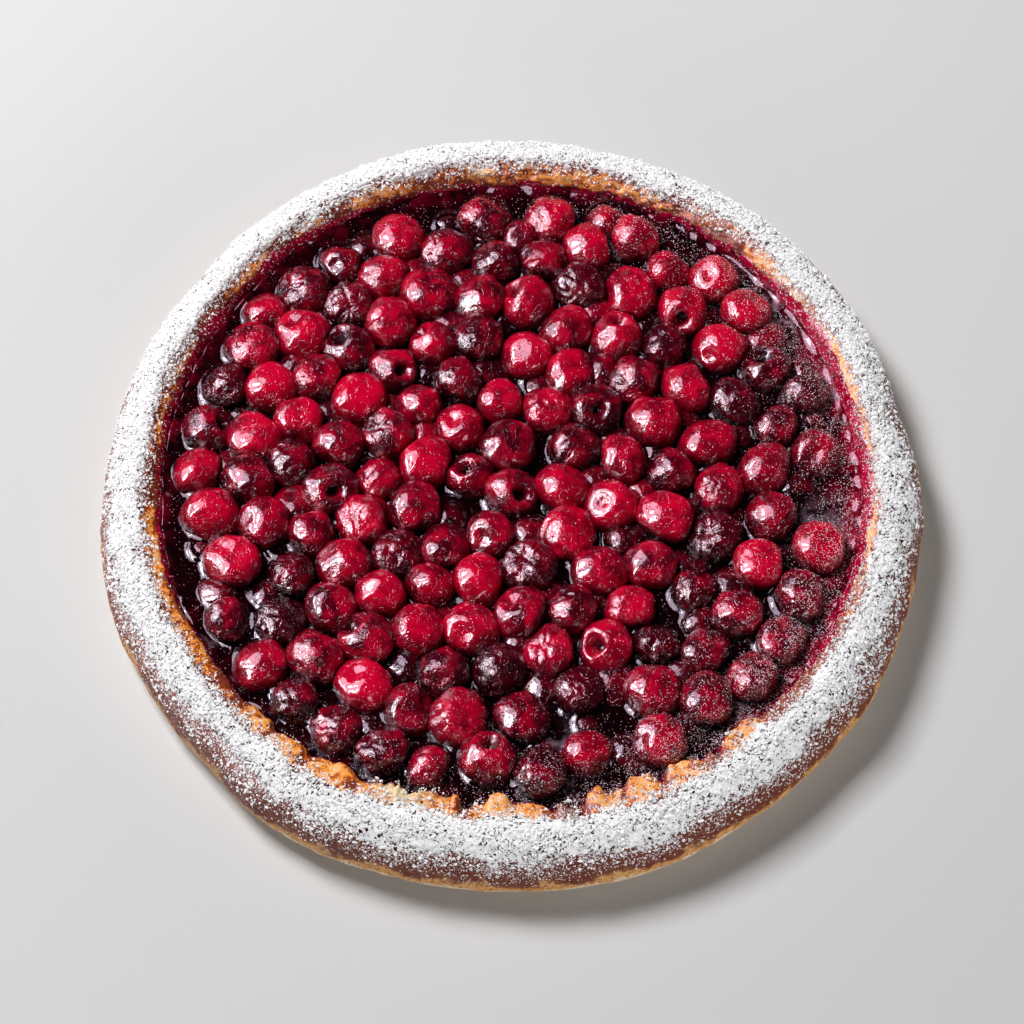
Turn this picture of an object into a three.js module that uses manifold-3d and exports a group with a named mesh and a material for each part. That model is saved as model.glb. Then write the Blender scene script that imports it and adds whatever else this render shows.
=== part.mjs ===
// An open cherry pie: a round hand-formed dough crust with a thick rolled rim, a pool of set cherry
// jelly, a heap of whole pitted cherries standing out of it, and a coat of icing sugar on the rim.
// Millimetres, +Z up. The origin is the middle of the flat underside.
import * as THREE from "three";
import { mergeVertices } from "three/addons/utils/BufferGeometryUtils.js";
import Module from "manifold-3d";

// Crust
const OUTER_R = 130; // widest radius of the rim
const RIM_H = 28; // height of the rim's crest
const RIM_W = 20; // rim, from its outer face to the lip over the jelly
const FOOT_IN = 4; // how far the foot stands in from the widest radius
const FLOOR_T = 4.5; // thickness of the crust under the filling
const FLOOR_R = 103; // where the crust's floor turns up into the wall

// Filling
const JELLY_Z = 19.2; // level of the jelly
const HEAP_R = 107; // reach of the cherries
const CLEARANCE = 0.3; // between the filling's pieces and their neighbours
const CORE_Z = 11; // underside of the bed that the cherries share
const CORE_TOP_Z = 18.9; // top of that bed, a little under the jelly's level
const BED_IN = 3.5; // how far the bed stays inside the cherries' reach
// Stretches where the cherries reach less far: place and half width in degrees, depth in mm.
const HEAP_DIPS = [
  { at: 137, span: 42, depth: 1 },
  { at: 275, span: 44, depth: 2.5 },
];

// Cherries
const CHERRY_COUNT = 190;
const CHERRY_R = 8.4; // mean radius
const CHERRY_R_SPREAD = 0.95;
const HIGH_Z = 20.2; // centres of the upper layer
const LOW_Z = 10.9; // centres of the lower layer, as they settle
const LAYER_PLAY = 1.2; // how far a centre strays from its layer
const LOW_SHARE = 0.3;
const EDGE_SINK = 1.2; // how much deeper the upper layer lies along the crust
const SIDE_REACH = 0.96; // distance of neighbours in a layer, as a share of their radii
const LAYER_REACH = 0.83; // the same for neighbours in different layers
const SETTLE_ROUNDS = 120;
const NESTLE_REACH = 0.74; // distance at which a lower cherry rests between upper ones, in their radii
const NESTLE_Z = 17.6; // the highest that its centre comes to lie
const HIGH_FACES = [6, 5]; // sides and rings of an upper cherry
const LOW_FACES = [5, 3]; // the same for a lower one, of which only the cap shows
// Cherries that lie with their pit hole up and stay where they are put.
const PITTED_AT = [
  [-52, 50],
  [-37.5, 42],
  [-7, -91],
  [0, -2],
  [27, 28],
  [81, 43],
];

// Icing sugar
const SUGAR_GAP = 0.4;
const SUGAR_T = 0.9;
const SUGAR_FROM = 0.34; // share of the rim's section, from the foot outside to the floor inside
const SUGAR_TO = 0.65;
const SUGAR_RAGGED = 0.02;

const LIP_R = OUTER_R - RIM_W;
const AZIMUTH_STEPS = 96;
const RIM_STEPS = 10;
const GOLDEN_ANGLE = Math.PI * (3 - Math.sqrt(5));
const DEG = Math.PI / 180;

// Waves of the rim's outline, as turns round the pie, size in mm and phase in degrees.
const OUTLINE_WAVES = [
  [2, 0.4, 130],
  [3, 0.3, -80],
  [5, 0.22, -159],
  [6, 0.2, -35],
  [7, 0.22, -106],
  [8, 0.31, 77],
  [9, 0.26, 15],
  [11, 0.22, -16],
];
// Waves of the crest's height, in the same form.
const CREST_WAVES = [
  [3, 0.35, 20],
  [7, 0.3, 75],
  [13, 0.3, -40],
];
// Folds pressed across the rim: place and half width in degrees, depth in mm.
const CREASES = [
  { at: 224, span: 5, depth: 1.2 },
  { at: 12, span: 6, depth: 1.4 },
  { at: 318, span: 5, depth: 0.8 },
];
// How far the inner lip lies off its circle, outward, in the same form.
const LIP_WAVES = [[1, 1, 80]];
// Thumb-pressed lobes along the inner lip. Those of the near side are given by the place of their
// first notch in degrees and their depth in mm, and the lobes past them follow a rule.
const NEAR_LOBES = [
  [221.5, 1.6],
  [229, 1.6],
  [236, 2.0],
  [245, 1.6],
  [253.5, 2.8],
  [262.5, 2.6],
  [276.5, 0],
  [281.8, 2.4],
  [288.4, 2.8],
  [294.8, 3.2],
  [302, 0],
  [305, 2.8],
];
const NEAR_END = 314; // degrees
const NEAR_IN = { at: 275, span: 44, depth: 1.5 }; // how far that whole side leans in
const LOBE_WIDTH = [8, 17];
const LOBE_DEPTH = [0.2, 0.8];

const COLOURS = {
  crust: 0x8a4a22,
  jelly: 0x2a0209,
  cherries: 0x9a0f22,
  sugar: 0xf3f0ee,
};

const wasm = await Module();
wasm.setup();

// Evenly spread numbers from 0 to 1, the same ones for the same seed.
function seededDraw(seed) {
  let state = seed;
  return () => {
    state = (state * 1664525 + 1013904223) % 4294967296;
    return state / 4294967296;
  };
}

const between = ([low, high], share) => low + (high - low) * share;
const turned = (angle) => ((angle % (2 * Math.PI)) + 2 * Math.PI) % (2 * Math.PI);
// Distance in degrees from an angle in radians to a place in degrees.
const degreesFrom = (angle, at) => Math.abs(turned(angle - at * DEG + Math.PI) / DEG - 180);
const smooth = (x) => x * x * (3 - 2 * x);
const ramp = (x, from, to) => smooth(THREE.MathUtils.clamp((x - from) / (to - from), 0, 1));

function waves(list, angle) {
  return list.reduce((sum, [turns, size, phase]) => sum + size * Math.cos(turns * angle - phase * DEG), 0);
}

// Adds up bell-shaped dips round the pie.
function dips(list, angle) {
  return list.reduce((sum, { at, span, depth }) => {
    const away = degreesFrom(angle, at) / span;
    return sum + depth * Math.exp(-away * away);
  }, 0);
}

// ---------------------------------------------------------------- the crust's hand-made form

function makeLobes() {
  const draw = seededDraw(11);
  const lobes = NEAR_LOBES.map(([start, depth]) => ({ start, depth }));
  const end = lobes[0].start + 360;
  for (let start = NEAR_END; end - start > LOBE_WIDTH[0]; start += between(LOBE_WIDTH, draw())) {
    lobes.push({ start, depth: between(LOBE_DEPTH, draw()) });
  }
  return lobes.map((lobe, i) => ({ ...lobe, width: (lobes[i + 1]?.start ?? end) - lobe.start }));
}

const LOBES = makeLobes();

// How far the inner lip stands in over the jelly at an angle.
function lobeAt(angle) {
  const first = LOBES[0].start;
  const degrees = first + turned(angle - first * DEG) / DEG;
  const lobe = LOBES.findLast(({ start }) => start <= degrees);
  const across = (degrees - lobe.start) / lobe.width;
  const out = waves(LIP_WAVES, angle) - dips([NEAR_IN], angle);
  return lobe.depth * (1 - Math.abs(2 * across - 1) ** 2.4) - out;
}

// Bends a point of the plain round pie to the hand-made one. Neighbours bend alike, so they stay apart.
function warp(point) {
  const angle = Math.atan2(point.y, point.x);
  const r = Math.hypot(point.x, point.y);
  const rim = ramp(r, FLOOR_R, OUTER_R - FOOT_IN);
  const crease = dips(CREASES, angle);
  const lip = ramp(r, LIP_R - 11, LIP_R - 3) * (1 - ramp(r, LIP_R + 1, LIP_R + 8));
  const crest = ramp(point.z, 12, RIM_H) * ramp(r, LIP_R - 4, LIP_R + 2);
  const outward = rim * (waves(OUTLINE_WAVES, angle) - crease) - lip * lobeAt(angle);
  const scale = r > 0 ? (r + outward) / r : 1;
  const lift = crest * (waves(CREST_WAVES, angle) - 0.7 * crease);
  return new THREE.Vector3(point.x * scale, point.y * scale, point.z + lift);
}

// ---------------------------------------------------------------- geometry helpers

// Turns a profile of (radius, height) points round Z, moving each vertex by a function.
function lathe(profile, move) {
  const geometry = new THREE.LatheGeometry(profile, AZIMUTH_STEPS);
  geometry.rotateX(Math.PI / 2);
  return moveVertices(geometry, move);
}

function moveVertices(geometry, move) {
  const position = geometry.getAttribute("position");
  for (let i = 0; i < position.count; i++) {
    const moved = move(new THREE.Vector3().fromBufferAttribute(position, i));
    position.setXYZ(i, moved.x, moved.y, moved.z);
  }
  return geometry;
}

function toSolid(geometry) {
  const bare = geometry.clone();
  bare.deleteAttribute("normal");
  bare.deleteAttribute("uv");
  const merged = mergeVertices(bare, 1e-4);
  const vertProperties = new Float32Array(merged.getAttribute("position").array);
  const triVerts = new Uint32Array(merged.index.array);
  return new wasm.Manifold(new wasm.Mesh({ numProp: 3, vertProperties, triVerts }));
}

function toGeometry(solid) {
  const mesh = solid.getMesh();
  const geometry = new THREE.BufferGeometry();
  geometry.setAttribute("position", new THREE.BufferAttribute(mesh.vertProperties, 3));
  geometry.setIndex(new THREE.BufferAttribute(mesh.triVerts, 1));
  geometry.computeVertexNormals();
  return geometry;
}

function named(name, geometry, color, roughness) {
  const mesh = new THREE.Mesh(geometry, new THREE.MeshStandardMaterial({ color, roughness, metalness: 0 }));
  mesh.name = name;
  return mesh;
}

// ---------------------------------------------------------------- crust

const at = (r, z) => new THREE.Vector2(r, z);

// Section of the rim, from the foot outside over the crest to the floor inside.
const RIM_SECTION = new THREE.SplineCurve([
  at(OUTER_R - FOOT_IN, 0),
  at(OUTER_R - 1.2, 4),
  at(OUTER_R, 11),
  at(OUTER_R - 3.4, 21),
  at(OUTER_R - 11.5, RIM_H),
  at(LIP_R + 4, 26),
  at(LIP_R, 21),
  at(LIP_R - 2.4, 14),
  at(FLOOR_R, FLOOR_T),
]);

function makeCrust() {
  const profile = [at(0, 0), ...RIM_SECTION.getPoints(RIM_STEPS), at(0, FLOOR_T)];
  return named("crust", lathe(profile, warp), COLOURS.crust, 0.7);
}

// ---------------------------------------------------------------- cherries

// How far from the middle a cherry's skin may reach at an angle.
function heapReach(angle) {
  return HEAP_R - dips(HEAP_DIPS, angle);
}

// Lays out the cherries: the pitted ones where they belong and the others on an even spiral.
function spreadCherries() {
  const draw = seededDraw(338);
  const cherries = [];
  for (let i = 0; i < CHERRY_COUNT; i++) {
    const radius = CHERRY_R + CHERRY_R_SPREAD * (draw() + draw() - 1);
    const pinned = i < PITTED_AT.length;
    const low = draw() < LOW_SHARE && !pinned;
    const z = (low ? LOW_Z : HIGH_Z) + LAYER_PLAY * (2 * draw() - 1);
    const angle = i * GOLDEN_ANGLE;
    const out = Math.sqrt((i + 0.5) / CHERRY_COUNT) * (heapReach(angle) - radius);
    const [x, y] = PITTED_AT[i] ?? [out * Math.cos(angle), out * Math.sin(angle)];
    cherries.push({ x, y, z, radius, low, pinned });
  }
  return cherries;
}

// Lets the cherries push each other apart until they lie side by side.
function settleCherries() {
  const cherries = spreadCherries();
  for (let round = 0; round < SETTLE_ROUNDS; round++) {
    const push = cherries.map(() => ({ x: 0, y: 0 }));
    for (let i = 0; i < CHERRY_COUNT; i++) {
      for (let j = i + 1; j < CHERRY_COUNT; j++) {
        const a = cherries[i];
        const b = cherries[j];
        const dx = b.x - a.x;
        const dy = b.y - a.y;
        const dz = b.z - a.z;
        const wanted = (a.low === b.low ? SIDE_REACH : LAYER_REACH) * (a.radius + b.radius);
        const apart = Math.sqrt(dx * dx + dy * dy + dz * dz);
        if (apart >= wanted) continue;
        const flat = Math.max(Math.sqrt(dx * dx + dy * dy), 0.1);
        const half = (0.45 * (wanted - apart)) / flat;
        push[i].x -= half * dx;
        push[i].y -= half * dy;
        push[j].x += half * dx;
        push[j].y += half * dy;
      }
    }
    cherries.forEach((cherry, i) => {
      if (cherry.pinned) return;
      cherry.x += push[i].x;
      cherry.y += push[i].y;
      const out = Math.hypot(cherry.x, cherry.y);
      const most = heapReach(Math.atan2(cherry.y, cherry.x)) - cherry.radius;
      if (out > most) {
        cherry.x *= most / out;
        cherry.y *= most / out;
      }
    });
  }
  for (const cherry of cherries) {
    if (!cherry.low) cherry.z -= EDGE_SINK * ramp(Math.hypot(cherry.x, cherry.y), 70, 95);
  }
  return cherries;
}

// Lifts each lower cherry until it rests between the upper ones, so that its top shows.
function nestle(cherries) {
  const upper = cherries.filter(({ low }) => !low);
  for (const cherry of cherries.filter(({ low }) => low)) {
    let seat = NESTLE_Z;
    for (const other of upper) {
      const wanted = NESTLE_REACH * (cherry.radius + other.radius);
      const left = wanted ** 2 - (other.x - cherry.x) ** 2 - (other.y - cherry.y) ** 2;
      if (left > 0) seat = Math.min(seat, other.z - Math.sqrt(left));
    }
    cherry.z = Math.max(cherry.z, seat);
  }
  return cherries;
}

// One cherry with few sides: a little flat, dented at the stem end, and leaning its own way.
function cherrySolid({ x, y, z, radius, low }, draw) {
  const geometry = new THREE.SphereGeometry(radius, ...(low ? LOW_FACES : HIGH_FACES));
  const dent = 0.15 + 0.25 * draw();
  moveVertices(geometry, (p) => (p.y > 0.99 * radius ? p.setY(p.y * (1 - dent)) : p));
  geometry.scale(1, 0.9 + 0.1 * draw(), 0.94 + 0.06 * draw());
  const lean = new THREE.Euler(Math.PI / 2 + 1.1 * (2 * draw() - 1), 0, 2 * Math.PI * draw(), "ZXY");
  geometry.applyMatrix4(new THREE.Matrix4().makeRotationFromEuler(lean));
  geometry.translate(x, y, z);
  return toSolid(geometry);
}

// A flat slab under the whole heap, its outline following the cherries' reach.
function slab(grow, bottom, top) {
  const outline = [];
  for (let i = 0; i < AZIMUTH_STEPS; i++) {
    const angle = (i / AZIMUTH_STEPS) * 2 * Math.PI;
    const r = heapReach(angle) + grow;
    outline.push(at(r * Math.cos(angle), r * Math.sin(angle)));
  }
  const geometry = new THREE.ExtrudeGeometry(new THREE.Shape(outline), { depth: top - bottom, bevelEnabled: false });
  geometry.translate(0, 0, bottom);
  return toSolid(geometry);
}

function makeCherries() {
  const draw = seededDraw(77);
  let heap = slab(-BED_IN, CORE_Z, CORE_TOP_Z);
  for (const cherry of nestle(settleCherries())) {
    heap = heap.add(cherrySolid(cherry, draw));
  }
  const sunk = slab(-BED_IN, CORE_Z, 2 * RIM_H);
  const shown = slab(1, JELLY_Z + CLEARANCE, 2 * RIM_H);
  return named("cherries", toGeometry(heap.intersect(sunk.add(shown))), COLOURS.cherries, 0.15);
}

// ---------------------------------------------------------------- jelly

// The jelly fills the crust up to its level, round the bed of the cherries.
function makeJelly() {
  const wallR = LIP_R - 1.9;
  const profile = [
    at(0, FLOOR_T + CLEARANCE),
    at(FLOOR_R - 1.6, FLOOR_T + CLEARANCE),
    at(LIP_R - 4.4, 12.5),
    at(wallR, JELLY_Z),
    at(wallR - 2, JELLY_Z - 0.3),
    at(0, JELLY_Z - 0.3),
  ];
  const pool = toSolid(lathe(profile, warp));
  const bed = slab(CLEARANCE - BED_IN, CORE_Z - CLEARANCE, 2 * RIM_H);
  return named("jelly", toGeometry(pool.subtract(bed)), COLOURS.jelly, 0.05);
}

// ---------------------------------------------------------------- icing sugar

// The coat follows the steps of the rim's section between two ragged edges. Its closed profile is
// drawn flat, as the share of the section plus 1 and the layer, and then laid on the rim.
function makeSugar() {
  const shares = [4, 5, 6].map((step) => step / RIM_STEPS);
  const perimeter = [
    ...[1, ...shares.toReversed(), 0].map((share) => at(1 + share, 0)),
    ...shares.map((share) => at(1 + share, 1)),
    at(2, 0),
  ];
  const lay = (p) => {
    const angle = Math.atan2(p.y, p.x);
    const from = SUGAR_FROM + SUGAR_RAGGED * Math.sin(9 * angle + 1) * Math.cos(5 * angle);
    const to = SUGAR_TO + SUGAR_RAGGED * Math.sin(14 * angle + 2);
    const share = THREE.MathUtils.clamp(Math.hypot(p.x, p.y) - 1, from, to);
    const on = RIM_SECTION.getPoint(share);
    const along = RIM_SECTION.getTangent(share);
    const off = SUGAR_GAP + SUGAR_T * p.z;
    const r = on.x + along.y * off;
    const z = on.y - along.x * off;
    return warp(new THREE.Vector3(r * Math.cos(angle), r * Math.sin(angle), z));
  };
  return named("icing_sugar", lathe(perimeter, lay), COLOURS.sugar, 0.95);
}

const pie = new THREE.Group();
pie.add(makeCrust(), makeJelly(), makeCherries(), makeSugar());

export default pie;
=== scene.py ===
"""An open cherry pie: a hand-formed crust, a heap of pitted cherries in jelly, and icing sugar.

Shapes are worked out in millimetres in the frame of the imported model: +Z is up and the origin is
the middle of the pie's underside. Each finished mesh is turned to metres, with its object at the
origin. The cherries settle by the same rule as the model's own heap, so they lie where it has them.
"""

from __future__ import annotations

import logging
import math
from dataclasses import dataclass, field
from enum import Enum
from functools import reduce
from itertools import product

import bmesh
import bpy
import numpy as np
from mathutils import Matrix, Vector
from mathutils.bvhtree import BVHTree

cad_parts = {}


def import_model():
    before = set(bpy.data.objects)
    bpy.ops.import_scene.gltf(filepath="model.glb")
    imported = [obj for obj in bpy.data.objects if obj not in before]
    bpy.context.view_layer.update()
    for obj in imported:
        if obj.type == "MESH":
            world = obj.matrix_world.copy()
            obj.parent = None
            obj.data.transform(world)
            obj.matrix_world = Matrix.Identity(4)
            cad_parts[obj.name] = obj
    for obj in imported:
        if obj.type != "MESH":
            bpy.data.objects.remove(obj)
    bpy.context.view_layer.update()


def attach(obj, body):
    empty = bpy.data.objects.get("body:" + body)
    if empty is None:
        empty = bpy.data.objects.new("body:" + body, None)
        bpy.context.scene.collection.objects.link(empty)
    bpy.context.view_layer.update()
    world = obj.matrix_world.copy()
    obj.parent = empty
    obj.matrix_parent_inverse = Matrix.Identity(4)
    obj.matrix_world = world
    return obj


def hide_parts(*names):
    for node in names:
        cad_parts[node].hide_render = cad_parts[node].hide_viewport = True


LOG = logging.getLogger("cherry_pie")
METRES = 0.001
BODY = "root"
TURN = 2 * math.pi
NOISE_SPAN = (0.3, 0.7)  # most values of soft noise lie between these
GRAIN_SQUEEZE = (0.65, 1.3)  # least and greatest stretch of a grain along each of its axes

Pair = tuple[float, float]
Colour = tuple[float, float, float]
Wave = tuple[float, float, float]
Array = np.ndarray


# ---------------------------------------------------------------- numbers and curves


class EvenDraw:
    """Evenly spread numbers from 0 to 1, the same ones for the same seed."""

    factor = 1664525
    step = 1013904223
    size = 2**32

    def __init__(self, seed: int) -> None:
        """Starts the draw.

        Args:
            seed: The whole number that the draws follow from.
        """
        self.state = seed

    def next(self) -> float:
        """Returns the next number."""
        self.state = (self.state * self.factor + self.step) % self.size
        return self.state / self.size


class Field:
    """A smooth random field in space, from about -1 to 1, for many points at once."""

    cycle = 256  # it repeats after this many lumps
    height = 1.7  # brings its hills to about 1

    def __init__(self, seed: int) -> None:
        """Draws the field's directions.

        Args:
            seed: The whole number that the field follows from.
        """
        draw = np.random.default_rng(seed)
        self.order = draw.permutation(self.cycle)
        ways = draw.normal(size=(self.cycle, 3))
        self.ways = ways / np.linalg.norm(ways, axis=1, keepdims=True)

    def at(self, points: Array, size: object, shift: object = 0.0) -> Array:
        """Works out the field's value at each point.

        Args:
            points: The points, as rows of x, y and z.
            size: Distance between the field's lumps, one number or one for each axis.
            shift: Added to the points once they are divided by the size.

        Returns:
            The values, from about -1 to 1.
        """
        spot = points / np.asarray(size) + shift
        cell = np.floor(spot).astype(int)
        inside = spot - cell
        soft = inside**3 * (inside * (inside * 6 - 15) + 10)
        total = np.zeros(len(points))
        for corner in product((0, 1), repeat=3):
            index = np.zeros(len(points), dtype=int)
            for axis in range(3):
                index = self.order[(index + cell[:, axis] + corner[axis]) % self.cycle]
            share = np.prod(np.where(np.array(corner, dtype=bool), soft, 1 - soft), axis=1)
            total += share * np.einsum("ij,ij->i", self.ways[index], inside - corner)
        return self.height * total


LUMPS = Field(3)
GRAIN = Field(8)


@dataclass(frozen=True)
class Layer:
    """One layer of random relief or drift."""

    source: Field
    height: float
    size: object  # distance between its lumps, one number or one for each axis
    shift: float = 0.0

    def at(self, points: Array) -> Array:
        """Returns the layer's height at each point."""
        return self.height * self.source.at(points, self.size, self.shift)

    def ridges(self, points: Array, level: float = 0.0) -> Array:
        """Returns rounded hills with sharp valleys, lowered by a share of the layer's height."""
        return self.height * (np.abs(self.source.at(points, self.size, self.shift)) - level)


def layers_at(layers: tuple[Layer, ...], points: Array) -> Array:
    """Returns the sum of some layers at each point."""
    return sum(layer.at(points) for layer in layers)


def ramp(value: Array, start: float, end: float) -> Array:
    """Returns a smooth rise from 0 at start to 1 at end."""
    x = np.clip((value - start) / (end - start), 0.0, 1.0)
    return x * x * (3 - 2 * x)


def between(value: Array, rise: Pair, fall: Pair) -> Array:
    """Returns a plateau of height 1 that rises and falls between the given pairs of values."""
    return ramp(value, *rise) * (1 - ramp(value, *fall))


def hump(value: Array, middle: float, width: float) -> Array:
    """Returns a bell of height 1 at middle, with the given half width."""
    return np.exp(-(((value - middle) / width) ** 2))


def degrees_from(angle: Array, place: float) -> Array:
    """Returns how far an angle in radians is from a place in degrees, in degrees."""
    return np.abs(np.degrees((angle - math.radians(place) + math.pi) % TURN) - 180)


@dataclass(frozen=True)
class Bell:
    """A bell-shaped rise or dip somewhere round the pie."""

    place: float  # degrees round the pie
    span: float  # half width in degrees
    height: float = 1.0

    def at(self, angle: Array) -> Array:
        """Returns its height at each angle."""
        return self.height * hump(degrees_from(angle, self.place), 0, self.span)


def bells_at(bells: tuple[Bell, ...], angle: Array) -> Array:
    """Returns the sum of some bells at each angle."""
    return sum(bell.at(angle) for bell in bells)


def wave_sum(waves: tuple[Wave, ...], angle: Array) -> Array:
    """Adds up waves round the pie.

    Args:
        waves: Turns round the pie, size in millimetres and phase in degrees of each wave.
        angle: Angles round the pie, in radians.

    Returns:
        The waves' sum in millimetres at each angle.
    """
    return sum(size * np.cos(turns * angle - math.radians(phase)) for turns, size, phase in waves)


def around(angle: Array, r: Array, z: Array) -> Array:
    """Returns rows of x, y and z for angles, radii and heights."""
    return np.stack([r * np.cos(angle), r * np.sin(angle), z + 0 * angle], axis=1)


def flat(x: Array, y: Array) -> Array:
    """Returns rows of x and y, with 0 for z."""
    return np.stack([x, y, 0 * x], axis=1)


# ---------------------------------------------------------------- the pie's hand-made form


@dataclass(frozen=True)
class PieForm:
    """The driving sizes of the pie and the bends that its pieces share."""

    outer_r: float = 130.0
    rim_h: float = 28.0
    rim_w: float = 20.0
    foot_in: float = 4.0
    floor_t: float = 4.5
    floor_r: float = 103.0
    jelly_z: float = 19.2
    heap_r: float = 107.0
    heap_dips: tuple[Bell, ...] = (Bell(137, 42, 1.0), Bell(275, 44, 2.5))
    near_in: Bell = Bell(275, 44, 1.5)
    near_lobes: tuple[Pair, ...] = (
        (221.5, 1.6),
        (229, 1.6),
        (236, 2.0),
        (245, 1.6),
        (253.5, 2.8),
        (262.5, 2.6),
        (276.5, 0),
        (281.8, 2.4),
        (288.4, 2.8),
        (294.8, 3.2),
        (302, 0),
        (305, 2.8),
    )  # first notch in degrees and depth of each thumb-pressed lobe
    near_end: float = 314.0  # degrees, where the near lobes end and the drawn ones start
    lobe_width: Pair = (8.0, 17.0)  # degrees
    lobe_depth: Pair = (0.2, 0.8)
    lobe_seed: int = 11
    lobe_round: float = 2.4  # power that rounds a lobe: more is squarer
    lip_waves: tuple[Wave, ...] = ((1, 1, 80),)
    outline_waves: tuple[Wave, ...] = (
        (2, 0.4, 130),
        (3, 0.3, -80),
        (5, 0.22, -159),
        (6, 0.2, -35),
        (7, 0.22, -106),
        (8, 0.31, 77),
        (9, 0.26, 15),
        (11, 0.22, -16),
    )
    crest_waves: tuple[Wave, ...] = ((3, 0.35, 20), (7, 0.3, 75), (13, 0.3, -40))
    creases: tuple[Bell, ...] = (Bell(224, 5, 1.2), Bell(12, 6, 1.4), Bell(318, 5, 0.8))
    crease_sink: float = 0.7  # share of a crease's depth by which the crest sinks at it
    lobe_rise: Pair = (-11, -3)  # the lobes start between these distances past the lip's radius
    lobe_fall: Pair = (1, 8)  # and end between these
    crest_rise: Pair = (-4, 2)  # the crest starts between these distances past the lip's radius
    crest_low_z: float = 12.0  # and over this height

    @property
    def lip_r(self) -> float:
        """Radius of the inner lip over the jelly."""
        return self.outer_r - self.rim_w

    def section_points(self) -> Array:
        """Lists the rim's section from the foot outside, over the crest, to the floor inside.

        Returns:
            The points, as rows of radius and height.
        """
        return np.array([
            (self.outer_r - self.foot_in, 0),
            (self.outer_r - 1.2, 4),
            (self.outer_r, 11),
            (self.outer_r - 3.4, 21),
            (self.outer_r - 11.5, self.rim_h),
            (self.lip_r + 4, 26),
            (self.lip_r, 21),
            (self.lip_r - 2.4, 14),
            (self.floor_r, self.floor_t),
        ])

    def section(self, share: Array) -> tuple[Array, Array]:
        """Follows the section on a smooth curve.

        Args:
            share: Shares of its way, from 0 at the foot outside to 1 at the floor inside.

        Returns:
            The radii and the heights there.
        """
        points = self.section_points()
        last = len(points) - 1
        way = np.clip(np.asarray(share, dtype=float), 0.0, 1.0) * last
        i = np.minimum(way.astype(int), last)
        t = (way - i)[..., None]
        here, ahead = points[i], points[np.minimum(i + 1, last)]
        start = (ahead - points[np.maximum(i - 1, 0)]) / 2
        end = (points[np.minimum(i + 2, last)] - here) / 2
        rise = here - ahead
        place = ((2 * rise + start + end) * t - 3 * rise - 2 * start - end) * t * t + start * t + here
        return place[..., 0], place[..., 1]

    def section_normal(self, share: Array) -> tuple[Array, Array]:
        """Finds the way out of the dough.

        Args:
            share: Shares of the section.

        Returns:
            The unit direction's radius and height at each of them.
        """
        low_r, low_z = self.section(share - 0.01)
        high_r, high_z = self.section(share + 0.01)
        dr, dz = high_r - low_r, high_z - low_z
        length = np.maximum(np.hypot(dr, dz), 1e-6)
        return dz / length, -dr / length

    def heap_reach(self, angle: Array) -> Array:
        """Returns how far from the middle a cherry's skin may reach at each angle."""
        return self.heap_r - bells_at(self.heap_dips, angle)


class HandForm:
    """Bends the plain round pie to the hand-made one. Neighbouring pieces bend alike."""

    def __init__(self, form: PieForm) -> None:
        """Lays the lobes of the inner lip round the pie.

        Args:
            form: The pie's driving sizes.
        """
        self.form = form
        draw = EvenDraw(form.lobe_seed)
        lobes = list(form.near_lobes)
        end, start = lobes[0][0] + 360, form.near_end
        (low, high), (shallow, deep) = form.lobe_width, form.lobe_depth
        while end - start > low:
            lobes.append((start, shallow + (deep - shallow) * draw.next()))
            start += low + (high - low) * draw.next()
        self.starts, self.depths = np.array(lobes).T
        self.widths = np.diff([*self.starts, end])

    def find_lobe(self, angle: Array) -> tuple[Array, Array]:
        """Finds the lobe at each angle.

        Args:
            angle: Angles round the pie, in radians.

        Returns:
            The lobes' numbers, and the degrees past their first notches.
        """
        first = self.starts[0]
        degrees = first + np.degrees((angle - math.radians(first)) % TURN)
        index = np.clip(np.searchsorted(self.starts, degrees, side="right") - 1, 0, None)
        return index, degrees - self.starts[index]

    def notch_at(self, angle: Array, width: float) -> Array:
        """Returns a bell of height 1 at each notch between lobes, with a half width in degrees."""
        index, along = self.find_lobe(angle)
        return hump(np.minimum(along, self.widths[index] - along), 0, width)

    def lobe_at(self, angle: Array) -> Array:
        """Works out how far the inner lip stands in over the jelly.

        Args:
            angle: Angles round the pie, in radians.

        Returns:
            The distance in millimetres at each angle.
        """
        index, along = self.find_lobe(angle)
        depth, across = self.depths[index], along / self.widths[index]
        out = wave_sum(self.form.lip_waves, angle) - self.form.near_in.at(angle)
        return depth * (1 - np.abs(2 * across - 1) ** self.form.lobe_round) - out

    def bend(self, points: Array) -> Array:
        """Moves points of the plain round pie to their hand-made places.

        Args:
            points: The points, as rows of x, y and z.

        Returns:
            Their new places.
        """
        form = self.form
        x, y, z = points.T
        angle, r = np.arctan2(y, x), np.hypot(x, y)
        crease = bells_at(form.creases, angle)
        rim = ramp(r, form.floor_r, form.outer_r - form.foot_in)
        lip = between(r - form.lip_r, form.lobe_rise, form.lobe_fall)
        crest = ramp(z, form.crest_low_z, form.rim_h) * ramp(r - form.lip_r, *form.crest_rise)
        outward = rim * (wave_sum(form.outline_waves, angle) - crease) - lip * self.lobe_at(angle)
        scale = 1 + outward / np.maximum(r, 1e-6)
        lift = crest * (wave_sum(form.crest_waves, angle) - form.crease_sink * crease)
        return np.stack([x * scale, y * scale, z + lift], axis=1)


# ---------------------------------------------------------------- the cherries' places


class Kind(Enum):
    """How a cherry looks."""

    PLUMP = "plump"
    DIMPLED = "dimpled"
    PITTED = "pitted"
    CREASED = "creased"
    SHRIVELLED = "shrivelled"
    SUNK = "sunk"


@dataclass
class Cherry:
    """One cherry's place and size, in millimetres."""

    x: float
    y: float
    z: float
    radius: float
    low: bool
    pinned: bool
    kind: Kind = Kind.PLUMP


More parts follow.
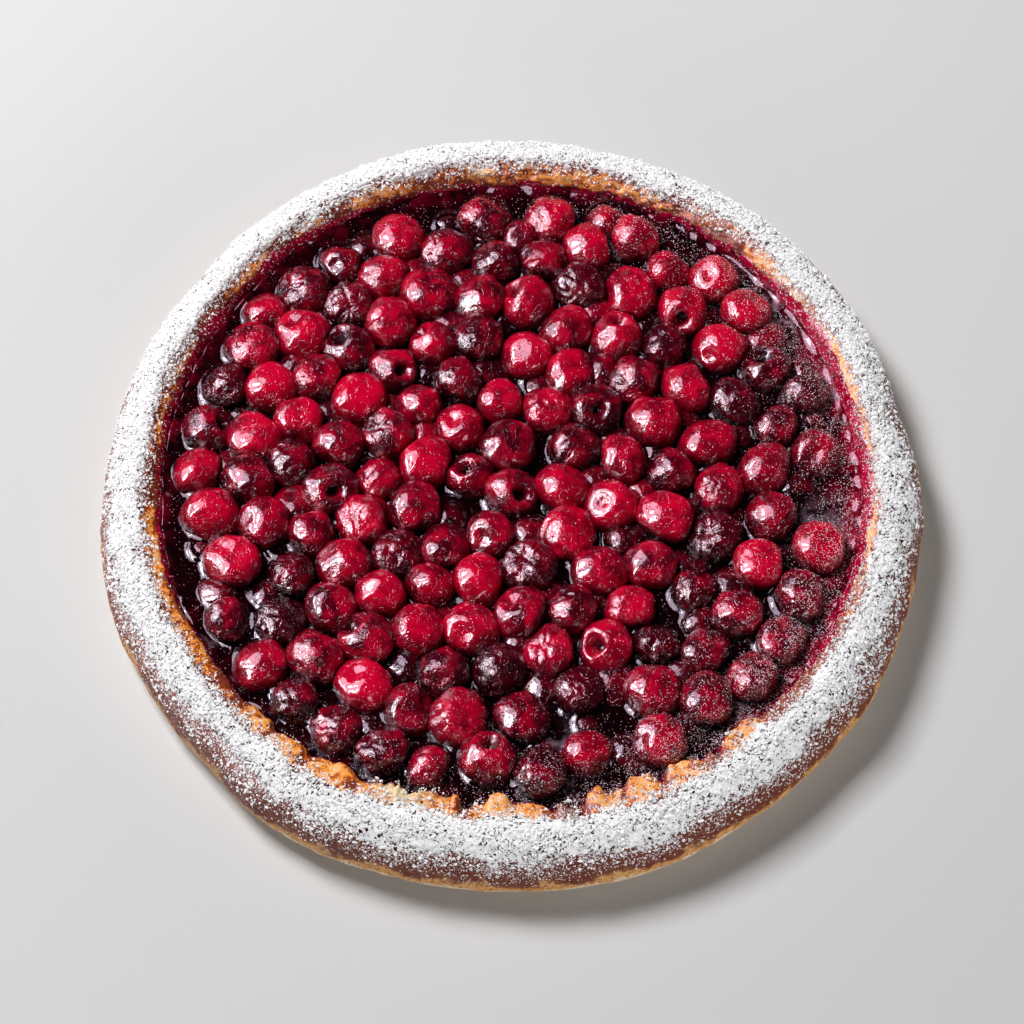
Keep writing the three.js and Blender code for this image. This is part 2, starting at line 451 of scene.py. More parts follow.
@dataclass(frozen=True)
class HeapRule:
    """How the cherries settle side by side in two layers."""

    form: PieForm
    count: int = 190
    radius: float = 8.4
    radius_spread: float = 0.95
    high_z: float = 20.2
    low_z: float = 10.9
    layer_play: float = 1.2
    low_share: float = 0.3
    edge_sink: float = 1.2
    edge: Pair = (70, 95)  # the upper ones sink to the crust's side between these radii
    side_reach: float = 0.96
    layer_reach: float = 0.83
    rounds: int = 120
    push: float = 0.45  # share of an overlap that each neighbour gives way by in a round
    least_apart: float = 0.1
    seed: int = 338
    pitted_at: tuple[Pair, ...] = ((-52, 50), (-37.5, 42), (-7, -91), (0, -2), (27, 28), (81, 43))

    def spread(self) -> list[Cherry]:
        """Lays the cherries out: the pitted ones in place, the others on a spiral.

        Returns:
            The cherries before they settle.
        """
        draw = EvenDraw(self.seed)
        golden = math.pi * (3 - math.sqrt(5))
        cherries = []
        for i in range(self.count):
            radius = self.radius + self.radius_spread * (draw.next() + draw.next() - 1)
            pinned = i < len(self.pitted_at)
            low = draw.next() < self.low_share and not pinned
            z = (self.low_z if low else self.high_z) + self.layer_play * (2 * draw.next() - 1)
            angle = i * golden
            out = math.sqrt((i + 0.5) / self.count) * (float(self.form.heap_reach(angle)) - radius)
            x, y = self.pitted_at[i] if pinned else (out * math.cos(angle), out * math.sin(angle))
            cherries.append(Cherry(x, y, z, radius, low, pinned))
        return cherries

    def push_apart(self, spots: Array, wanted: Array) -> Array:
        """Lets neighbours that lie too close push each other aside for one round.

        Args:
            spots: Middles of the cherries, as rows of x, y and z.
            wanted: The distance wanted between each two of them.

        Returns:
            How far each cherry moves, as rows of x and y.
        """
        gap = spots[None] - spots[:, None]
        apart = np.sqrt((gap**2).sum(axis=2))
        aside = np.maximum(np.hypot(gap[..., 0], gap[..., 1]), self.least_apart)
        half = np.where(apart < wanted, self.push * (wanted - apart) / aside, 0.0)
        np.fill_diagonal(half, 0.0)
        return -(half[..., None] * gap[..., :2]).sum(axis=1)

    def settle(self) -> list[Cherry]:
        """Lets the cherries push each other apart until they lie side by side.

        Returns:
            The settled cherries.
        """
        cherries = self.spread()
        spots = np.array([(c.x, c.y, c.z) for c in cherries])
        radii = np.array([c.radius for c in cherries])
        low = np.array([c.low for c in cherries])
        free = np.array([not c.pinned for c in cherries])
        reach = np.where(low[:, None] == low[None], self.side_reach, self.layer_reach)
        wanted = reach * (radii[:, None] + radii[None])
        for _ in range(self.rounds):
            spots[free, :2] += self.push_apart(spots, wanted)[free]
            angles, outs = np.arctan2(spots[:, 1], spots[:, 0]), np.hypot(spots[:, 0], spots[:, 1])
            most = self.form.heap_reach(angles) - radii
            over = free & (outs > most)
            spots[over, :2] *= (most / outs)[over, None]
        for cherry, (x, y, z) in zip(cherries, spots):
            sink = 0.0 if cherry.low else self.edge_sink * float(ramp(math.hypot(x, y), *self.edge))
            cherry.x, cherry.y, cherry.z = x, y, z - sink
        return cherries


@dataclass
class Nestler:
    """Lifts the lower cherries until they touch the upper ones, and fills the gaps that are left."""

    form: PieForm
    squeeze: float = 0.74  # distance between a lower and an upper cherry, in shares of their radii
    side_squeeze: float = 0.86  # the same between two lower ones
    most_z: float = 17.6
    least_z: float = 13.2
    filler_r: Pair = (6.8, 8.0)
    grid: float = 1.5
    past_reach: float = 2.8  # how far past the others they may lie, towards the crust
    seed: int = 23

    def seat(self, spots: Array, radius: float, others: list[Cherry]) -> Array:
        """Works out how high a cherry can lie under and between others.

        Args:
            spots: Places as rows of x and y.
            radius: The cherry's radius.
            others: The cherries that it must clear.

        Returns:
            The greatest height at which it fits, for each place.
        """
        height = np.full(len(spots), self.most_z)
        for other in others:
            share = self.side_squeeze if other.low else self.squeeze
            wanted = share * (radius + other.radius)
            left = wanted**2 - (spots[:, 0] - other.x) ** 2 - (spots[:, 1] - other.y) ** 2
            room = other.z - np.sqrt(np.maximum(left, 0.0))
            height = np.where(left > 0, np.minimum(height, room), height)
        return height

    def nestle(self, cherries: list[Cherry]) -> list[Cherry]:
        """Lifts the lower cherries and fills the gaps.

        Args:
            cherries: The settled cherries.

        Returns:
            The same cherries and the added ones.
        """
        upper = [cherry for cherry in cherries if not cherry.low]
        for cherry in cherries:
            if cherry.low:
                spot = np.array([(cherry.x, cherry.y)])
                cherry.z = max(cherry.z, float(self.seat(spot, cherry.radius, upper)[0]))
        return cherries + self.fill(cherries)

    def fill(self, cherries: list[Cherry]) -> list[Cherry]:
        """Fills the gaps with more cherries, the widest gaps first.

        Args:
            cherries: The cherries that already lie there.

        Returns:
            The added cherries.
        """
        draw = np.random.default_rng(self.seed)
        radius = sum(self.filler_r) / 2
        way = np.arange(-self.form.heap_r, self.form.heap_r, self.grid)
        spots = np.array(list(product(way, way)))
        angles, outs = np.arctan2(spots[:, 1], spots[:, 0]), np.hypot(spots[:, 0], spots[:, 1])
        spots = spots[outs < self.form.heap_reach(angles) + self.past_reach - radius]
        height = self.seat(spots, radius, cherries)
        added: list[Cherry] = []
        while height.max() > self.least_z:
            best = int(height.argmax())
            x, y = spots[best]
            size = draw.uniform(*self.filler_r)
            added.append(Cherry(float(x), float(y), float(height[best]), size, True, False))
            height = np.minimum(height, self.seat(spots, radius, added[-1:]))
        return added


# ---------------------------------------------------------------- meshes and materials


def finish_piece(mesh: bpy.types.Mesh, material: bpy.types.Material) -> bpy.types.Object:
    """Turns a mesh made in millimetres into a smooth, dressed object at the origin.

    Args:
        mesh: The mesh in millimetres. The object takes its name.
        material: Its finish.

    Returns:
        The new object, linked to the scene.
    """
    write_points(mesh, read_points(mesh) * METRES)
    mesh.shade_smooth()
    mesh.materials.append(material)
    piece = bpy.data.objects.new(mesh.name, mesh)
    bpy.context.scene.collection.objects.link(piece)
    return piece


def place(piece: bpy.types.Object, slot: str, *nodes: str) -> bpy.types.Object:
    """Rides a piece on the pie and reports it.

    Args:
        piece: The piece.
        slot: Name of its material slot. Not used.
        *nodes: The solids that it stands for.

    Returns:
        The same piece.
    """
    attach(piece, BODY)
    if nodes:
        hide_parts(*nodes)
    LOG.info("%s: %d faces", piece.name, len(piece.data.polygons))
    return piece


def to_mesh(bm: bmesh.types.BMesh, name: str) -> bpy.types.Mesh:
    """Turns a bmesh into a mesh and frees it.

    Args:
        bm: The bmesh.
        name: Name of the mesh.

    Returns:
        The new mesh.
    """
    mesh = bpy.data.meshes.new(name)
    bm.to_mesh(mesh)
    bm.free()
    return mesh


def read_points(mesh: bpy.types.Mesh) -> Array:
    """Reads a mesh's points.

    Args:
        mesh: The mesh.

    Returns:
        The points, as rows of x, y and z.
    """
    points = np.empty(len(mesh.vertices) * 3)
    mesh.vertices.foreach_get("co", points)
    return points.reshape(-1, 3)


def write_points(mesh: bpy.types.Mesh, points: Array) -> None:
    """Moves the mesh's points."""
    mesh.vertices.foreach_set("co", points.ravel())
    mesh.update()


def read_marks(mesh: bpy.types.Mesh, name: str) -> Array:
    """Reads the number that each point of a mesh holds under a name.

    Args:
        mesh: The mesh.
        name: Name of the numbers.

    Returns:
        The numbers, in the order of the points.
    """
    marks = np.empty(len(mesh.vertices))
    mesh.attributes[name].data.foreach_get("value", marks)
    return marks


def write_marks(mesh: bpy.types.Mesh, **marks: Array) -> None:
    """Gives each point of a mesh a number under each name.

    Args:
        mesh: The mesh.
        **marks: The numbers of all points, for each name.
    """
    for name, values in marks.items():
        layer = mesh.attributes.new(name, "FLOAT", "POINT")
        layer.data.foreach_set("value", np.asarray(values, dtype=float).ravel())


def spin_profile(name: str, r: Array, z: Array, marks: Array, steps: int, closed: bool
                 ) -> bpy.types.Mesh:
    """Spins a profile in the XZ plane round the pie's axis.

    Args:
        name: Name of the mesh.
        r: Radii of the profile's points.
        z: Their heights.
        marks: A number for each of them, which every copy keeps under the name "along".
        steps: Steps in the full turn.
        closed: Whether the profile's last point joins its first.

    Returns:
        The spun mesh, closed where the profile is closed or starts and ends on the axis.
    """
    bm = bmesh.new()
    along = bm.verts.layers.float.new("along")
    verts = [bm.verts.new((x, 0, height)) for x, height in zip(r, z)]
    for vert, mark in zip(verts, marks):
        vert[along] = mark
    ends = verts[1:] + verts[:1] if closed else verts[1:]
    edges = [bm.edges.new(pair) for pair in zip(verts, ends)]
    bmesh.ops.spin(bm, geom=verts + edges, cent=(0, 0, 0), axis=(0, 0, 1), angle=TURN, steps=steps,
                   use_merge=True)
    bmesh.ops.remove_doubles(bm, verts=bm.verts, dist=1e-4)
    bmesh.ops.recalc_face_normals(bm, faces=bm.faces)
    return to_mesh(bm, name)


class Paint:
    """Builds one node material, step by step."""

    def __init__(self, name: str) -> None:
        """Starts a material with its shader and the piece's own coordinates.

        Args:
            name: Name of the material.
        """
        self.material = bpy.data.materials.new(name)
        self.material.use_nodes = True
        self.tree = self.material.node_tree
        self.shader = next(n for n in self.tree.nodes if n.type == "BSDF_PRINCIPLED")
        self.place = self.tree.nodes.new("ShaderNodeTexCoord").outputs["Object"]

    def node(self, kind: str, inputs: dict[str | int, object], **settings: object) -> bpy.types.Node:
        """Adds a node.

        Args:
            kind: The node's type name, without its ShaderNode prefix.
            inputs: A socket to link or a value to set for each input.
            **settings: The node's own settings.

        Returns:
            The new node.
        """
        node = self.tree.nodes.new("ShaderNode" + kind)
        for key, value in settings.items():
            setattr(node, key, value)
        for key, value in inputs.items():
            self.feed(node.inputs[key], value)
        return node

    def feed(self, socket: bpy.types.NodeSocket, value: object) -> None:
        """Links a socket into another one, or sets its value.

        Args:
            socket: The input.
            value: A socket or a value.
        """
        if isinstance(value, bpy.types.NodeSocket):
            self.tree.links.new(value, socket)
        else:
            socket.default_value = value

    def attribute(self, name: str) -> bpy.types.NodeSocket:
        """Returns a number that the mesh holds at each point."""
        return self.node("Attribute", {}, attribute_name=name).outputs["Fac"]

    def noise(self, size: float, detail: float = 2.0, distortion: float = 0.0) -> bpy.types.NodeSocket:
        """Adds soft noise.

        Args:
            size: Distance between its lumps, in millimetres.
            detail: How many finer layers it has.
            distortion: How much it swirls.

        Returns:
            Numbers from 0 to 1, most of them between those of NOISE_SPAN.
        """
        inputs = {"Vector": self.place, "Scale": 1 / (size * METRES), "Detail": detail,
                  "Distortion": distortion}
        return self.node("TexNoise", inputs).outputs["Fac"]

    def cells(self, size: float, output: str) -> bpy.types.NodeSocket:
        """Returns an output of a pattern of cells about size millimetres across."""
        inputs = {"Vector": self.place, "Scale": 1 / (size * METRES)}
        return self.node("TexVoronoi", inputs).outputs[output]

    def chance(self, size: float) -> bpy.types.NodeSocket:
        """Returns a number from 0 to 1 drawn for each cell about size millimetres across."""
        return self.node("SeparateColor", {0: self.cells(size, "Color")}).outputs[0]

    def math(self, operation: str, a: object, b: object = 0.0) -> bpy.types.NodeSocket:
        """Returns the result of an operation on two numbers."""
        return self.node("Math", {0: a, 1: b}, operation=operation).outputs[0]

    def add(self, *values: object) -> bpy.types.NodeSocket:
        """Returns the sum of some numbers."""
        return reduce(lambda a, b: self.math("ADD", a, b), values)

    def times(self, *values: object) -> bpy.types.NodeSocket:
        """Returns the product of some numbers."""
        return reduce(lambda a, b: self.math("MULTIPLY", a, b), values)

    def sway(self, noise: object, low: float, high: float) -> bpy.types.NodeSocket:
        """Returns soft noise spread out between two values."""
        return self.span(noise, *NOISE_SPAN, low, high)

    def span(self, value: object, start: float, end: float, low: object = 0.0,
             high: object = 1.0) -> bpy.types.NodeSocket:
        """Returns a value mapped smoothly from start..end to low..high."""
        inputs = {"Value": value, "From Min": start, "From Max": end, "To Min": low, "To Max": high}
        return self.node("MapRange", inputs, interpolation_type="SMOOTHSTEP").outputs[0]

    def ramp(self, value: object, stops: list[tuple[float, Colour]]) -> bpy.types.NodeSocket:
        """Adds a run of colours.

        Args:
            value: The number that runs through them.
            stops: The place and the colour of each stop.

        Returns:
            The colour.
        """
        node = self.node("ValToRGB", {0: value})
        elements = node.color_ramp.elements
        while len(elements) < len(stops):
            elements.new(0.5)
        for element, (position, colour) in zip(elements, stops):
            element.position = position
            element.color = (*colour, 1)
        return node.outputs["Color"]

    def mix(self, share: object, a: object, b: object) -> bpy.types.NodeSocket:
        """Mixes two colours, each a socket or three numbers.

        Args:
            share: Share of the second one.
            a: The first colour.
            b: The second colour.

        Returns:
            The colour.
        """
        node = self.node("Mix", {}, data_type="RGBA")
        self.feed(node.inputs["Factor"], share)
        for key, value in ((6, a), (7, b)):
            self.feed(node.inputs[key], value if isinstance(value, bpy.types.NodeSocket) else (*value, 1))
        return node.outputs[2]

    def bump(self, heights: list[tuple[object, float]]) -> None:
        """Gives the shader its fine relief.

        Args:
            heights: A height from 0 to 1 and the depth in millimetres that it stands for, of each layer.
        """
        normal: object = None
        for height, depth in heights:
            node = self.node("Bump", {"Height": height, "Distance": depth * METRES, "Strength": 1.0})
            if normal is not None:
                self.feed(node.inputs["Normal"], normal)
            normal = node.outputs["Normal"]
        self.feed(self.shader.inputs["Normal"], normal)
        self.feed(self.shader.inputs["Coat Normal"], normal)

    def shade(self, **inputs: object) -> bpy.types.Material:
        """Finishes the material.

        Args:
            **inputs: Sockets or values for the shader's inputs, whose names are written with _ for a
                space.

        Returns:
            The material.
        """
        for key, value in inputs.items():
            self.feed(self.shader.inputs[key.replace("_", " ")], value)
        return self.material


@dataclass(frozen=True)
class Powder:
    """How icing sugar covers a surface, as a mask from 0 to 1."""

    speck_edge: Pair = (0.62, 0.42)  # a grain fades out between these shares of its cell
    full_at: Pair = (0.5, 0.85)  # between these densities the grains close up
    sharp: float = 0.02
    hole_size: float = 1.0
    patch_size: float = 5.0
    patch_sway: float = 0.05
    hole_share: Pair = (0.66, 0.335)  # how high the noise stands at a hole's edge, for dust of 0 and 1
    bare_under: float = 0.15

    def specks(self, paint: Paint, dust: object, size: float) -> bpy.types.NodeSocket:
        """Scatters round grains, more of them where dust is higher.

        Args:
            paint: The material that they lie on.
            dust: How densely they lie, from 0 to 1.
            size: Distance between them where they lie densest, in millimetres.

        Returns:
            1 on a grain and 0 off it.
        """
        lies = paint.span(paint.math("SUBTRACT", dust, paint.chance(size)), -self.sharp, self.sharp)
        grain = paint.span(paint.cells(size, "Distance"), *self.speck_edge)
        full = paint.span(dust, *self.full_at)
        return paint.times(lies, paint.math("MAXIMUM", grain, full))

    def cover(self, paint: Paint, dust: object) -> bpy.types.NodeSocket:
        """Lays a coat with ragged holes, more of them where dust is lower.

        Args:
            paint: The material that it lies on.
            dust: How thick the coat is, from 0 to 1.

        Returns:
            1 on the coat and 0 in its holes.
        """
        ragged = paint.noise(self.hole_size, 3, 1.2)
        patchy = paint.sway(paint.noise(self.patch_size, 2), -self.patch_sway, self.patch_sway)
        least = paint.span(dust, 0.0, 1.0, *self.hole_share)
        left = paint.math("SUBTRACT", paint.add(ragged, patchy), least)
        return paint.times(paint.span(left, -self.sharp, self.sharp), paint.span(dust, 0.0, self.bare_under))


POWDER = Powder()


# ---------------------------------------------------------------- finishes


@dataclass(frozen=True)
class BakedCrust:
    """Baked dough: floury foot, brown outside, golden lip, crimson where the juice soaked in."""

    floury: Colour = (0.78, 0.64, 0.48)
    crumb: Colour = (0.86, 0.68, 0.36)
    tan: Colour = (0.62, 0.34, 0.12)
    brown: Colour = (0.15, 0.027, 0.012)
    peach: Colour = (0.94, 0.48, 0.18)
    gold: Colour = (0.90, 0.33, 0.032)
    amber: Colour = (0.42, 0.085, 0.012)
    russet: Colour = (0.24, 0.045, 0.018)
    crimson: Colour = (0.50, 0.002, 0.055)
    dark: Colour = (0.035, 0.0008, 0.005)
    sugar: Colour = (0.86, 0.85, 0.87)
    floury_band: Pair = (0.0, 0.17)  # where each colour lies along the section
    tan_band: Pair = (0.188, 0.235)
    brown_band: Pair = (0.27, 0.56)
    russet_band: Pair = (0.62, 0.82)
    patch_size: float = 12.0
    mottle_size: float = 2.4
    fine_size: float = 1.1
    speck_size: float = 0.5
    coat_from: float = 0.2  # density past which the powder closes to a coat
    rough: float = 0.5
    rough_wet: float = 0.2
    depths: tuple[float, float, float] = (0.35, 0.18, 0.15)  # of mottle, grain and powder, in millimetres

    def paint(self) -> bpy.types.Material:
        """Builds the material.

        Returns:
            The material.
        """
        p = Paint("baked_crust")
        mottle = p.noise(self.mottle_size, 4, 0.4)
        fine = p.noise(self.fine_size, 3, 0.4)
        colour = self.baked(p, mottle, fine)
        soaked = p.add(p.attribute("stain"), p.sway(mottle, -0.3, 0.3))
        mottled = p.add(p.span(mottle, 0.35, 0.65, -0.45, 0.25), p.span(fine, 0.35, 0.65, -0.25, 0.15))
        # the juice's brightness, with its painted shade lower down the wall, plus random mottle
        lit = p.add(p.attribute("bright"), mottled)
        juice = p.mix(p.span(lit, 0.0, 1.0), self.dark, self.crimson)
        colour = p.mix(p.span(soaked, 0.35, 0.65), colour, juice)
        dust = p.attribute("dust")
        coat = POWDER.cover(p, p.math("SUBTRACT", dust, self.coat_from))
        specks = p.math("MAXIMUM", POWDER.specks(p, dust, self.speck_size), coat)
        colour = p.mix(specks, colour, self.sugar)
        p.bump(list(zip((mottle, fine, specks), self.depths)))
        rough = p.span(soaked, 0.35, 0.65, self.rough, self.rough_wet)
        return p.shade(Base_Color=colour, Roughness=p.span(specks, 0.0, 1.0, rough, 1.0))

    def baked(self, p: Paint, mottle: object, fine: object) -> bpy.types.NodeSocket:
        """Colours the dough as the oven did.

        Args:
            p: The material.
            mottle: Noise of the dough's blotches.
            fine: Noise of its grain.

        Returns:
            The colour of the dough without juice and powder.
        """
        patches = p.noise(self.patch_size, 3, 0.6)
        along = p.add(p.attribute("along"), p.sway(patches, -0.045, 0.03), p.sway(mottle, -0.02, 0.02))
        bands = (
            (self.floury, self.floury_band),
            (self.tan, self.tan_band),
            (self.brown, self.brown_band),
            (self.russet, self.russet_band),
        )
        colour = p.ramp(along, [(end, tone) for tone, band in bands for end in band])
        colour = p.mix(p.span(mottle, 0.45, 0.75, 0.0, 0.18), colour, self.tan)
        colour = p.mix(p.span(fine, 0.48, 0.62, 0.0, 0.5), colour, self.brown)
        gold = p.attribute("gold")
        gilded = p.add(gold, p.sway(mottle, -0.55, 0.5), p.sway(fine, -0.25, 0.25))
        gilded = p.times(gilded, p.span(gold, 0.02, 0.2))
        for tone, start, end in ((self.amber, 0.1, 0.4), (self.gold, 0.4, 0.8), (self.peach, 0.9, 1.3)):
            colour = p.mix(p.span(gilded, start, end), colour, tone)
        return p.mix(p.attribute("crumb"), colour, self.crumb)


@dataclass(frozen=True)
class IcingSugar:
    """Loose white powder with the dough showing through its pinholes, painted darker than the dough as a
    painted shade in the pits.
    """

    white: Colour = (0.96, 0.955, 0.965)
    shade: Colour = (0.92, 0.905, 0.915)
    # the dough in the pinholes, darker than the dough itself: a painted shade in the pits
    dough: Colour = (0.060, 0.017, 0.013)
    fine_size: float = 0.8
    clump_size: float = 2.2
    depths: tuple[float, float, float] = (0.4, 0.4, 0.3)  # of clumps, grain and pinholes, in millimetres

    def paint(self, name: str, pinholes: bool) -> bpy.types.Material:
        """Builds the material.

        Args:
            name: Name of the material.
            pinholes: Whether the dough shows through, as the attribute "dust" says.

        Returns:
            The material.
        """
        p = Paint(name)
        fine = p.noise(self.fine_size, 3)
        clumps = p.noise(self.clump_size, 3)
        colour = p.mix(p.span(fine, 0.36, 0.52), self.shade, self.white)
        if pinholes:
            cover = POWDER.cover(p, p.attribute("dust"))
            # pinholes: dough with painted shade in the pits
            colour = p.mix(cover, self.dough, colour)
            p.bump(list(zip((clumps, fine, cover), self.depths)))
        return p.shade(Base_Color=colour, Roughness=1.0, Specular_IOR_Level=0.1)


@dataclass(frozen=True)
class CherrySkin:
    """Wet cooked cherry skin, from bright crimson to near black."""

    bright: Colour = (0.62, 0.0004, 0.042)
    deep: Colour = (0.095, 0.0003, 0.010)
    black: Colour = (0.006, 0.0002, 0.001)
    sugar: Colour = (0.80, 0.68, 0.75)
    wrinkle: float = 0.0  # depth of the fine wrinkles, in millimetres
    speck_size: float = 0.30
    pimple_size: float = 3.1
    gloss: float = 0.035  # roughness of the wet coat over the skin

    def paint(self, name: str) -> bpy.types.Material:
        """Builds the material.

        Args:
            name: Name of the material.

        Returns:
            The material.
        """
        p = Paint(name)
        blotch = p.noise(6.0, 3, 0.6)
        veins = p.noise(1.3, 2, 1.4)
        crumple = p.span(p.noise(4.6, 2, 0.8), 0.34, 0.54)
        tone = p.add(p.attribute("tone"), p.sway(blotch, -0.2, 0.2))
        colour = p.ramp(tone, [(0.0, self.black), (0.4, self.deep), (0.9, self.bright)])
        colour = p.mix(p.span(veins, 0.55, 0.75, 0.0, 0.4), colour, self.deep)
        # painted shade: the inside of the pit hole is painted black
        colour = p.mix(p.attribute("pit"), colour, self.black)
        # painted shade: skins low in the heap, where the cherries shade each other, darken towards black
        colour = p.mix(p.attribute("sunk"), colour, self.black)
        drift = p.span(p.noise(4, 3), 0.35, 0.65, 0.25, 1.4)
        specks = POWDER.specks(p, p.times(p.attribute("dust"), drift), self.speck_size)
        colour = p.mix(specks, colour, self.sugar)
        creases = p.span(p.math("ABSOLUTE", p.math("SUBTRACT", p.noise(2.4, 1, 0.9), 0.5)), 0.026, 0.0)
        away = p.cells(self.pimple_size, "Distance")
        ring = p.times(p.span(away, 0.30, 0.16), p.span(away, 0.05, 0.15))
        pimple = p.times(ring, p.span(p.chance(self.pimple_size), 0.62, 0.66))
        p.bump([
            (p.noise(3.4, 1, 0.4), 0.12 + self.wrinkle),
            (p.times(crumple, veins), 0.035 + 1.6 * self.wrinkle),
            (p.times(creases, crumple), 0.11),
            (pimple, 0.10),
        ])
        return p.shade(Base_Color=colour, Roughness=p.span(specks, 0.0, 1.0, 0.34, 0.8), IOR=1.2,
                       Specular_IOR_Level=0.25, Coat_Weight=1.0, Coat_Roughness=self.gloss, Coat_IOR=1.65)


@dataclass(frozen=True)
class CherryJelly:
    """Set jelly: near black and wet, crimson where it is thin, greyish where sugar melted on it, which is
    also a painted sheen.
    """

    black: Colour = (0.010, 0.0006, 0.0025)
    crimson: Colour = (0.30, 0.0012, 0.032)
    lilac: Colour = (0.30, 0.22, 0.28)
    sugar: Colour = (0.62, 0.48, 0.54)
    speck_size: float = 0.34

    def paint(self) -> bpy.types.Material:
        """Builds the material.

        Returns:
            The material.
        """
        p = Paint("cherry_jelly")
        drift = p.noise(6, 4, 1.0)
        thin = p.add(p.attribute("thin"), p.sway(drift, -0.12, 0.12))
        colour = p.mix(p.span(thin, 0.05, 1.0), self.black, self.crimson)
        haze = p.times(p.attribute("melted"), p.span(drift, 0.42, 0.62))
        # melted sugar and painted sheen: pale lilac patches on the jelly
        colour = p.mix(p.times(haze, 0.7), colour, self.lilac)
        strewn = p.span(p.noise(4.5, 3), 0.38, 0.62, 0.1, 1.4)
        specks = POWDER.specks(p, p.times(p.attribute("dust"), strewn), self.speck_size)
        colour = p.mix(specks, colour, self.sugar)
        p.bump([(p.noise(2.6, 2, 0.6), 0.12), (p.noise(0.9, 2), 0.03)])
        return p.shade(Base_Color=colour, Roughness=p.span(haze, 0.0, 1.0, 0.08, 0.5), IOR=1.45,
                       Coat_Weight=0.5, Coat_Roughness=0.02)


# ---------------------------------------------------------------- crust
#
# Shares run along the rim's section, from the foot outside at 0, over the crest, to the floor at 1.


@dataclass(frozen=True)
class DoughRelief:
    """How the dough's skin stands out of the plain section, in millimetres."""

    inset: float = 0.5  # the relief lies under the plain section by this much
    most_out: float = -0.1  # and never stands out further than this
    lobe_out: float = 4.3  # but on the near lobes by this much more
    start: Pair = (0.0, 0.06)  # shares over which it grows from nothing at the foot
    lumps: tuple[Layer, ...] = (Layer(LUMPS, 0.42, 14), Layer(LUMPS, 0.32, 5.5), Layer(GRAIN, 0.12, 2.1))
    near: Bell = Bell(276, 45)
    inner_rise: Pair = (0.57, 0.66)  # the inner side, with its pleats and crumbs, lies between these
    inner_fall: Pair = (0.86, 0.92)
    pleats: Layer = Layer(LUMPS, 1.2, (5.5, 26, 9))
    pleat_level: float = 0.3
    crumbs: Layer = Layer(GRAIN, 0.9, 2.6)
    crumb_level: float = 0.25
    near_smooth: float = 0.75  # share of the pleats and crumbs that the near lobes lack
    wet_smooth: float = 0.6  # share that the soaked dough lacks
    seam_band: Pair = (0.24, 0.09)  # middle and half width of a band of shares, as in every band
    seams: Layer = Layer(LUMPS, 1.0, (22, 3.2, 9), 5.5)
    seam_width: float = 0.07
    seam_depth: float = 0.5
    tears: Layer = Layer(GRAIN, 3.4, 1.6)
    tear_out: float = 0.8
    cleft_band: Pair = (0.69, 0.07)
    cleft_depth: Pair = (0.4, 0.8)  # depth of the clefts between lobes, and what the near side adds
    cleft_width: float = 0.9  # degrees
    lobe_band: Pair = (0.69, 0.06)
    puffs: Layer = Layer(LUMPS, 1.0, (6, 30, 9), 1.5)
    puff_span: Pair = (-0.35, 0.45)
    puff_out: float = 3.4
    puff_lumps: Layer = Layer(LUMPS, 0.6, 3.0)

    def at(self, hand: HandForm, share: Array, angle: Array, wet: Array, torn: Array) -> Array:
        """Works out the relief.

        Args:
            hand: The hand-made form that it lies on.
            share: Shares of the rim's section.
            angle: Angles round the pie, in radians.
            wet: How much juice soaked in there, from 0 to 1.
            torn: How much torn crumb shows there, from 0 to 1.

        Returns:
            How far the skin stands out at each place.
        """
        r, z = hand.form.section(share)
        at, strip = around(angle, r, z), flat(angle * hand.form.lip_r, z)
        near = self.near.at(angle)
        rough = self.pleats.ridges(strip, self.pleat_level) + self.crumbs.ridges(at, self.crumb_level)
        rough = rough * (1 - self.near_smooth * near) * (1 - self.wet_smooth * wet)
        seams = hump(share, *self.seam_band) * hump(self.seams.at(strip), 0, self.seam_width)
        clefts = hump(share, *self.cleft_band) * hand.notch_at(angle, self.cleft_width)
        lobes = near * hump(share, *self.lobe_band)
        puff = self.puff_out * ramp(self.puffs.at(strip), *self.puff_span) + self.puff_lumps.at(at)
        out = layers_at(self.lumps, at) - self.inset
        out = out + between(share, self.inner_rise, self.inner_fall) * rough
        out = out + torn * (self.tears.ridges(at) + self.tear_out) + lobes * puff
        out = out - self.seam_depth * seams - (self.cleft_depth[0] + self.cleft_depth[1] * near) * clefts
        return ramp(share, *self.start) * np.minimum(out, self.most_out + self.lobe_out * lobes)


